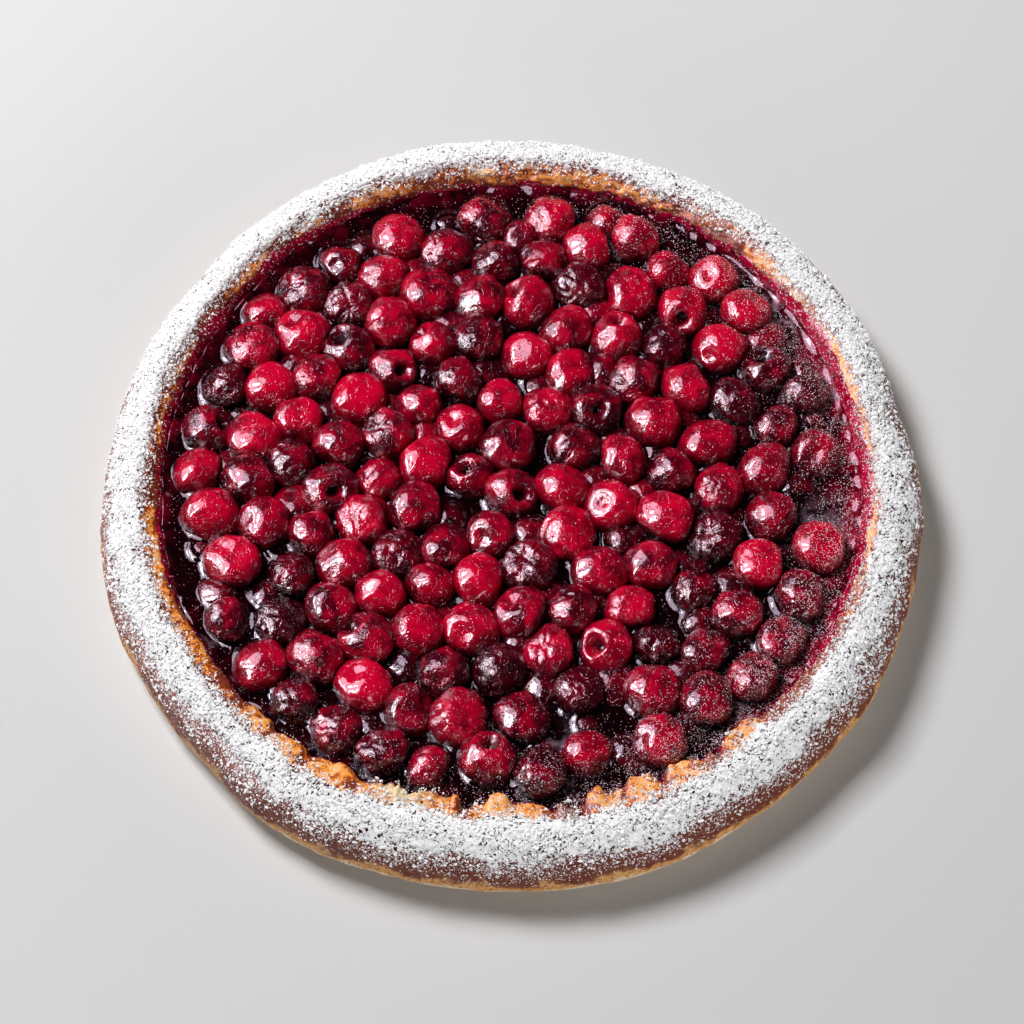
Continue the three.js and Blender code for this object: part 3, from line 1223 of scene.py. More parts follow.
@dataclass(frozen=True)
class PowderFall:
    """Where icing sugar lies on the rim: dense on the crest, and thinner to both sides."""

    round_r: float = 118.0  # the drifts lie on the rim as it unrolls at this radius
    section_length: float = 90.0
    drifts: tuple[Layer, ...] = (
        Layer(LUMPS, 0.5, 13, 2.5),
        Layer(LUMPS, 0.35, 4, 7.5),
        Layer(GRAIN, 0.4, 1.7),
    )
    most: float = 0.97
    outer_span: Pair = (0.22, 0.50)
    outer_power: float = 1.5
    outer_sway: float = 0.08
    outer_more: tuple[Bell, ...] = (Bell(95, 60, 0.07), Bell(180, 40, 0.03))
    inner_end: float = 0.72
    inner_more: tuple[Bell, ...] = (Bell(0, 60, 0.05), Bell(135, 45, 0.02), Bell(276, 42, 0.04))
    inner_span: Pair = (0.62, 1.02)  # in shares of its end
    inner_power: float = 1.2
    inner_sway: float = 0.12
    stray_rise: Pair = (0.60, 0.66)
    stray_fall: Pair = (0.78, 0.85)
    stray: float = 0.05
    stray_more: tuple[Bell, ...] = (Bell(135, 50, 0.07), Bell(-20, 60, 0.12))
    stray_sway: float = 2.4
    foot_band: Pair = (0.17, 0.022)
    foot_span: Pair = (0.0, 0.45)
    foot: float = 0.6

    def at(self, share: Array, angle: Array) -> Array:
        """Works out how densely powder lies on the dough.

        Args:
            share: Shares of the rim's section.
            angle: Angles round the pie, in radians.

        Returns:
            The density from 0 to 1 at each place.
        """
        drift = layers_at(self.drifts, flat(angle * self.round_r, share * self.section_length))
        outer = share + self.outer_sway * drift + bells_at(self.outer_more, angle)
        outer = ramp(outer, *self.outer_span) ** self.outer_power
        inner = (share + self.inner_sway * drift) / (self.inner_end + bells_at(self.inner_more, angle))
        inner = (1 - ramp(inner, *self.inner_span)) ** self.inner_power
        stray = (bells_at(self.stray_more, angle) + self.stray) * (1 + self.stray_sway * drift)
        stray = stray * between(share, self.stray_rise, self.stray_fall)
        foot = self.foot * hump(share, *self.foot_band) * ramp(drift, *self.foot_span)
        return np.maximum(self.most * outer * inner, np.maximum(foot, stray))


@dataclass(frozen=True)
class JuiceStain:
    """Where cherry juice soaked into the inner side of the dough."""

    round_r: float = 105.0
    drifts: tuple[Layer, ...] = (Layer(LUMPS, 0.035, 9, 1.5), Layer(LUMPS, 0.02, 3.5, 4.5))
    start: float = 0.75
    start_more: tuple[Bell, ...] = (
        Bell(150, 48, -0.075),
        Bell(8, 45, -0.085),
        Bell(270, 50, -0.03),
        Bell(101, 13, 0.04),
    )
    soft: float = 0.035
    bright: float = 0.25
    bright_more: tuple[Bell, ...] = (Bell(8, 50), Bell(140, 52))
    # painted shade: the juice darkens lower down the wall, by the cherries, between these shares
    painted_shade_span: Pair = (0.76, 0.86)
    painted_shade: float = 0.6

    def at(self, share: Array, angle: Array) -> Array:
        """Works out how much juice soaked in.

        Args:
            share: Shares of the rim's section.
            angle: Angles round the pie, in radians.

        Returns:
            How soaked the dough is at each place, from 0 to 1.
        """
        drift = layers_at(self.drifts, flat(angle * self.round_r, 0 * angle))
        start = self.start + bells_at(self.start_more, angle)
        return ramp(share + drift - start, -self.soft, self.soft)

    def bright_at(self, share: Array, angle: Array) -> Array:
        """Works out how bright the juice is: crimson on the sides, dark near and far, and darker lower down
        by a painted shade near the cherries.

        Args:
            share: Shares of the rim's section.
            angle: Angles round the pie, in radians.

        Returns:
            The brightness from 0 to 1 at each place.
        """
        bright = np.minimum(1.0, bells_at(self.bright_more, angle) + self.bright)
        return bright * (1 - self.painted_shade * ramp(share, *self.painted_shade_span))


@dataclass(frozen=True)
class GoldenLip:
    """Where the lip baked golden: on the whole near lobes, and in a ragged band on the far side."""

    near: Bell = Bell(271, 46)
    near_span: Pair = (0.12, 0.4)
    lobe_rise: Pair = (0.55, 0.60)
    lobe_fall: Pair = (0.73, 0.78)
    lobe_depth: Pair = (0.5, 1.5)  # lobes stand in by these many millimetres where gold starts and is full
    lobe_most: float = 0.95
    notch_width: float = 1.5  # degrees
    notch_dark: float = 0.75
    round_r: float = 108.0
    section_length: float = 60.0
    patches: Layer = Layer(LUMPS, 1.0, (13, 9, 9), 9.5)
    patch_span: Pair = (-0.15, 0.3)
    wide: tuple[Bell, ...] = (Bell(92, 26), Bell(205, 40, 0.5))  # where the far band is wider
    wide_more: float = 0.3
    right: Bell = Bell(5, 45, 0.3)
    band: Pair = (0.655, 0.055)
    band_more: Pair = (0.03, 0.04)  # what the middle and half width gain where it is wider
    band_most: float = 0.85

    def at(self, hand: HandForm, share: Array, angle: Array) -> Array:
        """Works out how golden the lip is.

        Args:
            hand: The hand-made form with its lobes.
            share: Shares of the rim's section.
            angle: Angles round the pie, in radians.

        Returns:
            The gold from 0 to 1 at each place.
        """
        index, _ = hand.find_lobe(angle)
        lobes = ramp(hand.depths[index], *self.lobe_depth)
        lobes = lobes * (1 - self.notch_dark * hand.notch_at(angle, self.notch_width))
        lobes = self.lobe_most * lobes * between(share, self.lobe_rise, self.lobe_fall)
        near = ramp(self.near.at(angle), *self.near_span)
        wide = bells_at(self.wide, angle)
        patches = self.patches.at(flat(angle * self.round_r, share * self.section_length))
        patchy = ramp(patches, *self.patch_span) + self.wide_more * wide + self.right.at(angle)
        band = hump(share, self.band[0] + self.band_more[0] * wide, self.band[1] + self.band_more[1] * wide)
        return near * lobes + (1 - near) * band * np.minimum(self.band_most, patchy)


@dataclass(frozen=True)
class TornCrumb:
    """Where the dough is torn and its pale crumb shows."""

    largest: Bell = Bell(252.3, 3.2, 1.3)
    largest_band: Pair = (0.67, 0.06)
    others: tuple[Bell, ...] = tuple(Bell(place, 1.8, 0.55) for place in (36, 27, 20, -8, 95))
    others_band: Pair = (0.67, 0.035)

    def at(self, share: Array, angle: Array) -> Array:
        """Works out how much crumb shows.

        Args:
            share: Shares of the rim's section.
            angle: Angles round the pie, in radians.

        Returns:
            The crumb's share from 0 to 1 at each place.
        """
        largest = self.largest.at(angle) * hump(share, *self.largest_band)
        return np.minimum(1.0, largest + bells_at(self.others, angle) * hump(share, *self.others_band))


@dataclass
class Crust:
    """The dough: a thick rolled rim with a lobed lip, and a solid floor under the filling."""

    hand: HandForm
    finish: BakedCrust
    dough: DoughRelief = DoughRelief()
    powder: PowderFall = PowderFall()
    juice: JuiceStain = JuiceStain()
    gold: GoldenLip = GoldenLip()
    crumb: TornCrumb = TornCrumb()
    steps: int = 840
    section_steps: int = 96
    top_share: float = 0.9  # share of the section past which it is under the jelly

    def surface(self, share: Array, angle: Array, out: object = 0.0) -> Array:
        """Finds places on the dough's skin, or off it.

        Args:
            share: Shares of the rim's section.
            angle: Angles round the pie, in radians.
            out: How far outside the skin they lie, in millimetres.

        Returns:
            The places, as rows of x, y and z.
        """
        form = self.hand.form
        r, z = form.section(share)
        nr, nz = form.section_normal(share)
        wet, torn = self.juice.at(share, angle), self.crumb.at(share, angle)
        lift = self.dough.at(self.hand, share, angle, wet, torn) + out
        return self.hand.bend(around(angle, r + nr * lift, np.maximum(z + nz * lift, 0.0)))

    def build(self) -> bpy.types.Object:
        """Builds and dresses the crust.

        Returns:
            The piece.
        """
        form = self.hand.form
        shares = np.linspace(0, 1, self.section_steps + 1)
        r, z = form.section(shares)
        mesh = spin_profile("crust_dough", np.array([0, *r, 0]), np.array([0, *z, form.floor_t]),
                            np.array([-1, *shares, 2]), self.steps, closed=False)
        points, share = read_points(mesh), read_marks(mesh, "along")
        angle = np.arctan2(points[:, 1], points[:, 0])
        shown = (share >= 0) & (share <= self.top_share)
        write_points(mesh, np.where(shown[:, None], self.surface(share, angle), self.hand.bend(points)))
        write_marks(
            mesh,
            dust=self.powder.at(share, angle),
            stain=self.juice.at(share, angle),
            gold=self.gold.at(self.hand, share, angle),
            crumb=self.crumb.at(share, angle),
            # the juice's brightness, with its painted shade lower down
            bright=self.juice.bright_at(share, angle),
        )
        return place(finish_piece(mesh, self.finish.paint()), "baked_crust", "crust")


# ---------------------------------------------------------------- icing sugar


@dataclass
class SugarCoat:
    """The coat of powder along the rim, thinning out into bare dough on both sides."""

    crust: Crust
    finish: IcingSugar
    steps: int = 1100
    across: int = 60
    under: int = 5
    from_share: float = 0.30
    to_share: float = 0.66
    thickness: float = 0.6
    buried: float = 0.9  # how far the coat's hidden side lies under the dough's skin
    most_z: float = 29.9  # the pieces stay inside the model's box
    most_y: float = 130.55
    dense: Pair = (0.35, 0.9)  # the coat grows from bare to full between these densities of powder
    bare: float = 0.55  # how far it lies under the dough's skin where that is bare
    rough: tuple[Layer, ...] = (Layer(GRAIN, 0.30, 1.15), Layer(LUMPS, 0.14, 2.8))
    taper: float = 0.03  # share of the section over which its ends sink into the dough
    sunk_ends: float = 0.8
    holes: tuple[Bell, ...] = (Bell(150, 60, 0.03), Bell(10, 55, -0.09), Bell(280, 60, -0.03))
    most_dust: float = 0.74  # with the bells above: the less, the more pinholes
    dust_of_thickness: Pair = (0.60, 0.5)  # the dust at no thickness, and what a millimetre adds
    edge: Pair = (-0.35, -0.05)  # thicknesses between which it fades out
    least_dust: float = 0.2  # the most dust where no powder fell

    def thickness_at(self, share: Array, angle: Array) -> Array:
        """Works out the coat's thickness.

        Args:
            share: Shares of the rim's section.
            angle: Angles round the pie, in radians.

        Returns:
            The thickness in millimetres, below zero where the dough is bare.
        """
        r, z = self.crust.hand.form.section(share)
        cover = ramp(self.crust.powder.at(share, angle), *self.dense)
        start, end = self.from_share, self.to_share
        ends = between(share, (start, start + self.taper), (end - self.taper, end))
        powder = (self.thickness + self.bare) * cover - self.bare
        powder = powder + layers_at(self.rough, around(angle, r, z)) * (0.5 + 0.5 * cover)
        return ends * powder - self.sunk_ends * (1 - ends)

    def dust_at(self, share: Array, angle: Array, thickness: Array) -> Array:
        """Works out how thickly the coat hides the dough.

        Args:
            share: Shares of the rim's section.
            angle: Angles round the pie, in radians.
            thickness: The coat's thickness there, in millimetres.

        Returns:
            A number from 0 to 1 at each place, less where there are more pinholes.
        """
        base, slope = self.dust_of_thickness
        dust = np.clip(base + slope * thickness, 0.0, self.most_dust + bells_at(self.holes, angle))
        most = self.least_dust + (1 - self.least_dust) * self.crust.powder.at(share, angle)
        return np.minimum(dust * ramp(thickness, *self.edge), most)

    def build(self) -> bpy.types.Object:
        """Builds and dresses the coat.

        Returns:
            The piece.
        """
        form = self.crust.hand.form
        top = np.linspace(self.from_share, self.to_share, self.across + 1)
        bottom = np.linspace(self.to_share, self.from_share, self.under + 1)[1:-1]
        marks = np.array([*top, *-bottom])
        r, z = form.section(np.abs(marks))
        nr, nz = form.section_normal(np.abs(marks))
        out = np.where(marks < 0, -self.buried, self.thickness)
        mesh = spin_profile("icing_sugar_coat", r + nr * out, z + nz * out, marks, self.steps, closed=True)
        points, mark = read_points(mesh), read_marks(mesh, "along")
        share, angle = np.abs(mark), np.arctan2(points[:, 1], points[:, 0])
        out = np.where(mark < 0, -self.buried, self.thickness_at(share, angle))
        points = self.crust.surface(share, angle, out)
        points[:, 2] = np.minimum(points[:, 2], self.most_z)
        write_points(mesh, points)
        write_marks(mesh, dust=self.dust_at(share, angle, out))
        material = self.finish.paint("icing_sugar_coat", pinholes=True)
        return place(finish_piece(mesh, material), "icing_sugar", "icing_sugar")


def scatter_grains(name: str, places: Array, sizes: Array, seed: int,
                   material: bpy.types.Material) -> bpy.types.Object:
    """Joins copies of one rough grain of eight faces, each turned and squeezed its own way.

    Args:
        name: Name of the piece.
        places: Where each grain lies, in millimetres.
        sizes: Each grain's radius, in millimetres.
        seed: Seed of the turns.
        material: Their finish.

    Returns:
        The new object, linked to the scene.
    """
    bm = bmesh.new()
    bmesh.ops.create_uvsphere(bm, u_segments=4, v_segments=2, radius=1)
    corners = np.array([vert.co[:] for vert in bm.verts])
    faces = np.array([[vert.index for vert in face.verts] for face in bm.faces])
    bm.free()
    draw = np.random.default_rng(seed)
    count = len(places)
    turns, _ = np.linalg.qr(draw.normal(size=(count, 3, 3)))
    turns *= np.sign(np.linalg.det(turns))[:, None, None]
    squeeze = draw.uniform(*GRAIN_SQUEEZE, size=(count, 1, 3)) * sizes[:, None, None]
    points = np.einsum("nij,nkj->nki", turns, corners[None] * squeeze) + places[:, None]
    joined = faces[None] + np.arange(count)[:, None, None] * len(corners)
    mesh = bpy.data.meshes.new(name)
    mesh.from_pydata(points.reshape(-1, 3).tolist(), [], joined.reshape(-1, 3).tolist())
    piece = finish_piece(mesh, material)
    mesh.shade_flat()
    return piece


@dataclass(frozen=True)
class GrainLot:
    """One lot of loose grains."""

    name: str
    count: int
    span: Pair  # shares of the section that they lie between
    sizes: Pair  # their least and greatest radius
    place_seed: int
    turn_seed: int


@dataclass
class RimGrains:
    """Loose grains on the rim: fine ones that stray down the dough's sides, and clumps."""

    crust: Crust
    coat: SugarCoat
    finish: IcingSugar
    lots: tuple[GrainLot, ...] = (
        GrainLot("icing_sugar_grains", 16000, (0.2, 0.76), (0.14, 0.32), 5, 7),
        GrainLot("icing_sugar_clumps", 21000, (0.28, 0.68), (0.28, 0.72), 6, 8),
    )
    tries: int = 8  # draws for each grain, as many fall where no powder lies
    mostly_small: float = 2.5
    raised: float = 0.2  # share of its radius by which a grain's middle lies over the powder

    def spread(self, lot: GrainLot) -> tuple[Array, Array]:
        """Lays grains as densely as the powder lies.

        Args:
            lot: The lot of grains.

        Returns:
            Their places as rows of x, y and z, and their radii.
        """
        draw = np.random.default_rng(lot.place_seed)
        tries = lot.count * self.tries
        share = draw.uniform(*lot.span, size=tries)
        angle = draw.uniform(0, TURN, size=tries)
        kept = draw.random(tries) < self.crust.powder.at(share, angle)
        share, angle = share[kept][: lot.count], angle[kept][: lot.count]
        small, large = lot.sizes
        size = small + (large - small) * draw.random(len(share)) ** self.mostly_small
        covered = (share > self.coat.from_share) & (share < self.coat.to_share)
        cover = np.where(covered, np.maximum(self.coat.thickness_at(share, angle), 0.0), 0.0)
        places = self.crust.surface(share, angle, cover + self.raised * size)
        reach = GRAIN_SQUEEZE[1] * size
        places[:, 1] = np.minimum(places[:, 1], self.coat.most_y - reach)
        places[:, 2] = np.minimum(places[:, 2], self.coat.most_z - reach)
        return places, size

    def build(self) -> list[bpy.types.Object]:
        """Builds and dresses the grains.

        Returns:
            One piece for each lot.
        """
        material = self.finish.paint("icing_sugar_grains", pinholes=False)
        pieces = []
        for lot in self.lots:
            piece = scatter_grains(lot.name, *self.spread(lot), lot.turn_seed, material)
            pieces.append(place(piece, "icing_sugar"))
        return pieces


@dataclass(frozen=True)
class FruitPowder:
    """How stray powder thins out from the rim over the filling."""

    edge_r: float = 108.0
    least: float = 0.04
    sides: tuple[Bell, ...] = (Bell(-35, 58, 0.96), Bell(48, 34, 0.4))
    near: Pair = (0.72, 9)  # how much lies at the rim, and the distance over which it thins out
    far: Pair = (0.07, 36)

    def at(self, x: Array, y: Array) -> Array:
        """Works out how densely the powder lies.

        Args:
            x: Places to the right of the pie's middle.
            y: Places behind it.

        Returns:
            The density from 0 to 1 at each place.
        """
        inward = np.maximum(self.edge_r - np.hypot(x, y), 0.0)
        thinned = sum(most * np.exp(-inward / reach) for most, reach in (self.near, self.far))
        return np.clip((self.least + bells_at(self.sides, np.arctan2(y, x))) * thinned, 0.0, 1.0)


FRUIT_POWDER = FruitPowder()


# ---------------------------------------------------------------- cherries


@dataclass(frozen=True)
class CherryForm:
    """The shape of one kind of cherry, in shares of its radius. Leans are degrees from upright."""

    segments: int = 56
    rings: int = 34
    height: float = 0.95
    lump: float = 0.095
    flats: int = 3
    flat_at: Pair = (0.82, 0.97)
    dimple: float = 0.07
    dimple_width: float = 0.45
    hole: float = 0.0
    hole_width: float = 0.3
    groove: float = 0.0
    groove_size: float = 0.62
    lean: Pair = (60, 130)
    tone: Pair = (0.45, 0.9)
    flat_soft: float = 0.022  # how softly a flat turns into the round
    tip_width: float = 0.3
    tip_dimple: float = 0.04  # depth of the small dimple opposite the stem end
    hole_ragged: float = 0.22
    hole_lip: tuple[float, float, float] = (1.3, 0.13, 0.05)  # its place, half width and height
    hole_fall: Pair = (0.6, 1.05)  # the hole's side lies between these shares of its width
    hole_dark: Pair = (0.5, 0.95)  # the painted shade inside the hole, black, fades out between these
    groove_width: float = 0.13

    def press(self, r: Array, ball: Array, draw: np.random.Generator) -> Array:
        """Presses flats into a cherry, where its neighbours lie.

        Args:
            r: Reach of each point from the middle.
            ball: Directions of the points, as rows of x, y and z.
            draw: The random numbers.

        Returns:
            The new reach of each point.
        """
        for _ in range(self.flats):
            way = draw.normal(size=3)
            toward = ball @ (way / np.linalg.norm(way))
            pressed = draw.uniform(*self.flat_at) / np.maximum(toward, 0.2)
            r = -self.flat_soft * np.logaddexp(-r / self.flat_soft, -pressed / self.flat_soft)
        return r

    def turn(self, draw: np.random.Generator) -> Array:
        """Leans the stem end as the kind does, to any side.

        Args:
            draw: The random numbers.

        Returns:
            The turn, as a 3 by 3 matrix.
        """
        lean, way = math.radians(draw.uniform(*self.lean)), draw.uniform(0, TURN)
        tip = np.array([[math.cos(lean), 0, math.sin(lean)], [0, 1, 0], [-math.sin(lean), 0, math.cos(lean)]])
        yaw = np.array([[math.cos(way), -math.sin(way), 0], [math.sin(way), math.cos(way), 0], [0, 0, 1]])
        return yaw @ tip

    def skin(self, ball: Array, draw: np.random.Generator) -> Array:
        """Shapes one cherry.

        Args:
            ball: Points of a unit ball whose top is the stem end, as rows of x, y and z.
            draw: The random numbers.

        Returns:
            The reach of each point from the middle, in shares of the radius.
        """
        shift = draw.uniform(-50, 50, size=3)
        theta = np.arccos(np.clip(ball[:, 2], -1, 1))
        r = 1 + self.lump * LUMPS.at(ball, 1.0, shift) + 0.35 * self.lump * LUMPS.at(ball, 0.45, shift)
        r = self.press(r, ball, draw)
        r -= self.dimple * hump(theta, 0, self.dimple_width)
        r -= self.tip_dimple * hump(theta, math.pi, self.tip_width)
        if self.hole:
            from_hole = theta * (1 + self.hole_ragged * GRAIN.at(ball, 0.45, shift))
            lip, width, height = self.hole_lip
            r += height * hump(from_hole, lip * self.hole_width, width)
            r -= self.hole * (1 - ramp(from_hole / self.hole_width, *self.hole_fall))
        if self.groove:
            long_way = np.array([self.groove_size, self.groove_size, 3.0 * self.groove_size])
            swirl = ball + 0.12 * GRAIN.at(ball, 0.7, shift)[:, None]
            r -= self.groove * hump(LUMPS.at(swirl, long_way, shift), 0, self.groove_width)
            r -= 0.5 * self.groove * hump(LUMPS.at(swirl, long_way * 0.45, shift), 0, 0.12)
        return r


CHERRY_FORMS = {
    Kind.PLUMP: CherryForm(),
    Kind.DIMPLED: CherryForm(dimple=0.22, dimple_width=0.38, lean=(15, 62), lump=0.09),
    Kind.PITTED: CherryForm(hole=0.55, hole_width=0.42, dimple=0.12, lean=(12, 48), tone=(0.4, 0.8)),
    Kind.CREASED: CherryForm(groove=0.06, dimple=0.14, lump=0.10, lean=(15, 95), tone=(0.35, 0.8)),
    Kind.SHRIVELLED: CherryForm(groove=0.085, groove_size=0.55, height=0.88, lump=0.11,
                                dimple=0.18, lean=(0, 60), tone=(0.2, 0.55)),
    Kind.SUNK: CherryForm(segments=36, rings=20, lump=0.08, dimple=0.1, lean=(20, 120), tone=(0.3, 0.75)),
}

CHERRY_SKINS = {
    Kind.PLUMP: CherrySkin(),
    Kind.DIMPLED: CherrySkin(),
    Kind.PITTED: CherrySkin(wrinkle=0.05),
    Kind.CREASED: CherrySkin(wrinkle=0.10),
    Kind.SHRIVELLED: CherrySkin(wrinkle=0.15, bright=(0.34, 0.001, 0.022)),
    Kind.SUNK: CherrySkin(),
}


@dataclass
class CherryHeap:
    """All the cherries, one piece for each kind."""

    cherries: list[Cherry]
    seed: int = 41
    swell: float = 1.05  # wet skins bulge a little past the plain balls
    stretch: Pair = (0.92, 1.10)
    most_z: float = 29.8
    dark_z: Pair = (18.5, 27.0)  # painted shade: the skins darken towards black low in the heap, fading out between these heights
    dark_most: float = 0.88
    dust_most: float = 0.5
    dust_up: Pair = (0.0, 6.0)  # powder lies from these heights over a cherry's middle
    edge: Pair = (55, 92)  # the odds change between these radii
    odds: tuple[tuple[Kind, float, float], ...] = (
        (Kind.PLUMP, 3.4, -1.6),
        (Kind.DIMPLED, 2.6, 0.0),
        (Kind.PITTED, 0.9, 0.0),
        (Kind.CREASED, 2.6, 0.8),
        (Kind.SHRIVELLED, 0.4, 1.0),
    )  # each upper kind's odds in the middle, and what the edge adds to them

    def choose_kinds(self) -> None:
        """Gives each cherry its kind: shrivelled ones mostly lie along the crust."""
        draw = np.random.default_rng(self.seed)
        for cherry in self.cherries:
            edge = float(ramp(math.hypot(cherry.x, cherry.y), *self.edge))
            odds = np.array([middle + more * edge for _, middle, more in self.odds])
            chosen = self.odds[draw.choice(len(odds), p=odds / odds.sum())][0]
            fixed = Kind.PITTED if cherry.pinned else chosen
            cherry.kind = Kind.SUNK if cherry.low else fixed

    def build_kind(self, kind: Kind, draw: np.random.Generator) -> bpy.types.Object:
        """Builds and dresses the cherries of one kind.

        Args:
            kind: The kind.
            draw: The random numbers.

        Returns:
            The piece.
        """
        form = CHERRY_FORMS[kind]
        bm = bmesh.new()
        bmesh.ops.create_uvsphere(bm, u_segments=form.segments, v_segments=form.rings, radius=1)
        ball = np.array([vert.co[:] for vert in bm.verts])
        faces = [[vert.index for vert in face.verts] for face in bm.faces]
        bm.free()
        theta = np.arccos(np.clip(ball[:, 2], -1, 1))
        # painted shade inside the pit hole
        pit = 1 - ramp(theta / form.hole_width, *form.hole_dark) if form.hole else 0 * theta
        points, tones, joined = [], [], []
        members = [cherry for cherry in self.cherries if cherry.kind is kind]
        for cherry in members:
            joined += [[i + len(points) * len(ball) for i in face] for face in faces]
            r = form.skin(ball, draw)
            scale = draw.uniform(*self.stretch, size=3) * (1, 1, form.height) * cherry.radius * self.swell
            made = (ball * r[:, None] * scale) @ form.turn(draw).T
            level = min(cherry.z, self.most_z - float(made[:, 2].max()))
            points.append(made + (cherry.x, cherry.y, level))
            tones.append(np.full(len(ball), draw.uniform(*form.tone)))
        spots = np.concatenate(points)
        mesh = bpy.data.meshes.new(f"cherries_{kind.value}")
        mesh.from_pydata(spots.tolist(), [], joined)
        middles = np.repeat([[c.x, c.y, c.z] for c in members], len(ball), axis=0)
        up = ramp((spots - middles)[:, 2], *self.dust_up)
        # painted shade, strongest on the skins lowest in the heap
        sunk = self.dark_most * (1 - ramp(spots[:, 2], *self.dark_z))
        write_marks(mesh, tone=np.concatenate(tones), pit=np.tile(pit, len(members)), sunk=sunk,
                    dust=self.dust_most * up * FRUIT_POWDER.at(spots[:, 0], spots[:, 1]))
        skin = CHERRY_SKINS[kind].paint(mesh.name)
        return place(finish_piece(mesh, skin), "cherry_skin", "cherries")

    def build(self) -> list[bpy.types.Object]:
        """Builds and dresses all the cherries.

        Returns:
            One piece for each kind.
        """
        self.choose_kinds()
        draw = np.random.default_rng(self.seed + 1)
        return [self.build_kind(kind, draw) for kind in Kind]


# ---------------------------------------------------------------- jelly


@dataclass
class JellyPool:
    """The set jelly round the cherries, drawn up a little against each of them and the crust."""

    hand: HandForm
    cherries: list[Cherry]
    finish: CherryJelly
    cells: int = 306
    bottom_z: float = 4.8
    edge_r: float = 110.6
    wall_r: float = 109.3  # where the dough comes out of the jelly
    climb: float = 0.85  # height of the jelly's edge against a cherry
    climb_reach: float = 0.45  # distance over which it falls away
    wall_climb: float = 1.0  # height of its edge against the crust
    wall_reach: float = 1.6
    left: Bell = Bell(140, 36, 1.6)  # what the climb gains there
    left_reach: float = 3.0
    most_rise: float = 1.5  # greatest rise where cherries meet, in climbs
    ragged: Layer = Layer(LUMPS, 1.2, 6.5, 3.5)
    ragged_least: float = 0.5
    swell: Layer = Layer(LUMPS, 0.3, 9)
    right: Bell = Bell(0, 50)
    thin: float = 0.12  # how thin and bright it is at the crust
    thin_right: float = 0.75  # what the right side adds
    thin_left: Bell = Bell(130, 60, 0.28)
    thin_reach: Pair = (4.5, 3.0)  # how far from the crust, and what the right side adds
    thin_rise: float = 0.03
    melted: tuple[tuple[float, float, float], ...] = (
        (82, 62, 13),
        (104, 33, 9),
        (14, -92, 9),
        (97, -14, 8),
        (66, -74, 8),
        (88, -48, 7),
    )  # x, y and size of the spots where sugar melted, painted pale as a sheen too
    dust_most: float = 0.3

    def rise(self, x: Array, y: Array) -> Array:
        """Draws the jelly up against the cherries.

        Args:
            x: Places to the right of the pie's middle.
            y: Places behind it.

        Returns:
            How far it is drawn up at each place.
        """
        total = np.zeros(len(x))
        for cherry in self.cherries:
            left = cherry.radius**2 - (self.hand.form.jelly_z - cherry.z) ** 2
            edge = math.sqrt(left) if left > 0 else 0.0
            gap = np.maximum(np.hypot(x - cherry.x, y - cherry.y) - edge, 0.0)
            total += (self.climb * np.exp(-gap / self.climb_reach)) ** 2
        return np.minimum(np.sqrt(total), self.most_rise * self.climb)

    def melted_at(self, x: Array, y: Array) -> Array:
        """Returns how much melted sugar and painted sheen lie on the jelly, from 0 to 1."""
        spots = (hump(np.hypot(x - sx, y - sy), 0, size) for sx, sy, size in self.melted)
        return np.minimum(1.0, sum(spots))

    def build(self) -> bpy.types.Object:
        """Builds and dresses the jelly.

        Returns:
            The piece.
        """
        bm = bmesh.new()
        low = bm.verts.layers.float.new("low")
        bmesh.ops.create_grid(bm, x_segments=self.cells, y_segments=self.cells, size=1)
        rim = [edge for edge in bm.edges if edge.is_boundary]
        wall = bmesh.ops.extrude_edge_only(bm, edges=rim)["geom"]
        for item in wall:
            if isinstance(item, bmesh.types.BMVert):
                item[low] = 1.0
                item.co.z = -1
        bmesh.ops.holes_fill(bm, edges=[edge for edge in bm.edges if edge.is_boundary])
        bmesh.ops.recalc_face_normals(bm, faces=bm.faces)
        mesh = to_mesh(bm, "jelly_pool")
        u, v, _ = read_points(mesh).T
        bottom = read_marks(mesh, "low") > 0.5
        reach = np.where(bottom, self.hand.form.floor_r - 1, self.edge_r)
        x, y = reach * u * np.sqrt(1 - v * v / 2), reach * v * np.sqrt(1 - u * u / 2)
        angle, inward = np.arctan2(y, x), np.maximum(self.wall_r - np.hypot(x, y), 0.0)
        ragged = self.ragged_least + self.ragged.ridges(flat(x, y))
        climb = self.wall_climb * np.exp(-inward / self.wall_reach)
        climb = ragged * (climb + self.left.at(angle) * np.exp(-inward / self.left_reach))
        rise = self.rise(x, y) + climb
        level = self.hand.form.jelly_z + rise + self.swell.at(flat(x, y))
        made = self.hand.bend(np.stack([x, y, level], axis=1))
        write_points(mesh, np.where(bottom[:, None], flat(x, y) + (0, 0, self.bottom_z), made))
        right = self.right.at(angle)
        bright = (self.thin + self.thin_right * right + self.thin_left.at(angle)) * ragged
        fades = self.thin_reach[0] + self.thin_reach[1] * right
        write_marks(
            mesh,
            thin=bright * np.exp(-inward / fades) + self.thin_rise * rise,
            melted=self.melted_at(x, y),
            dust=self.dust_most * FRUIT_POWDER.at(x, y),
        )
        return place(finish_piece(mesh, self.finish.paint()), "cherry_jelly", "jelly")


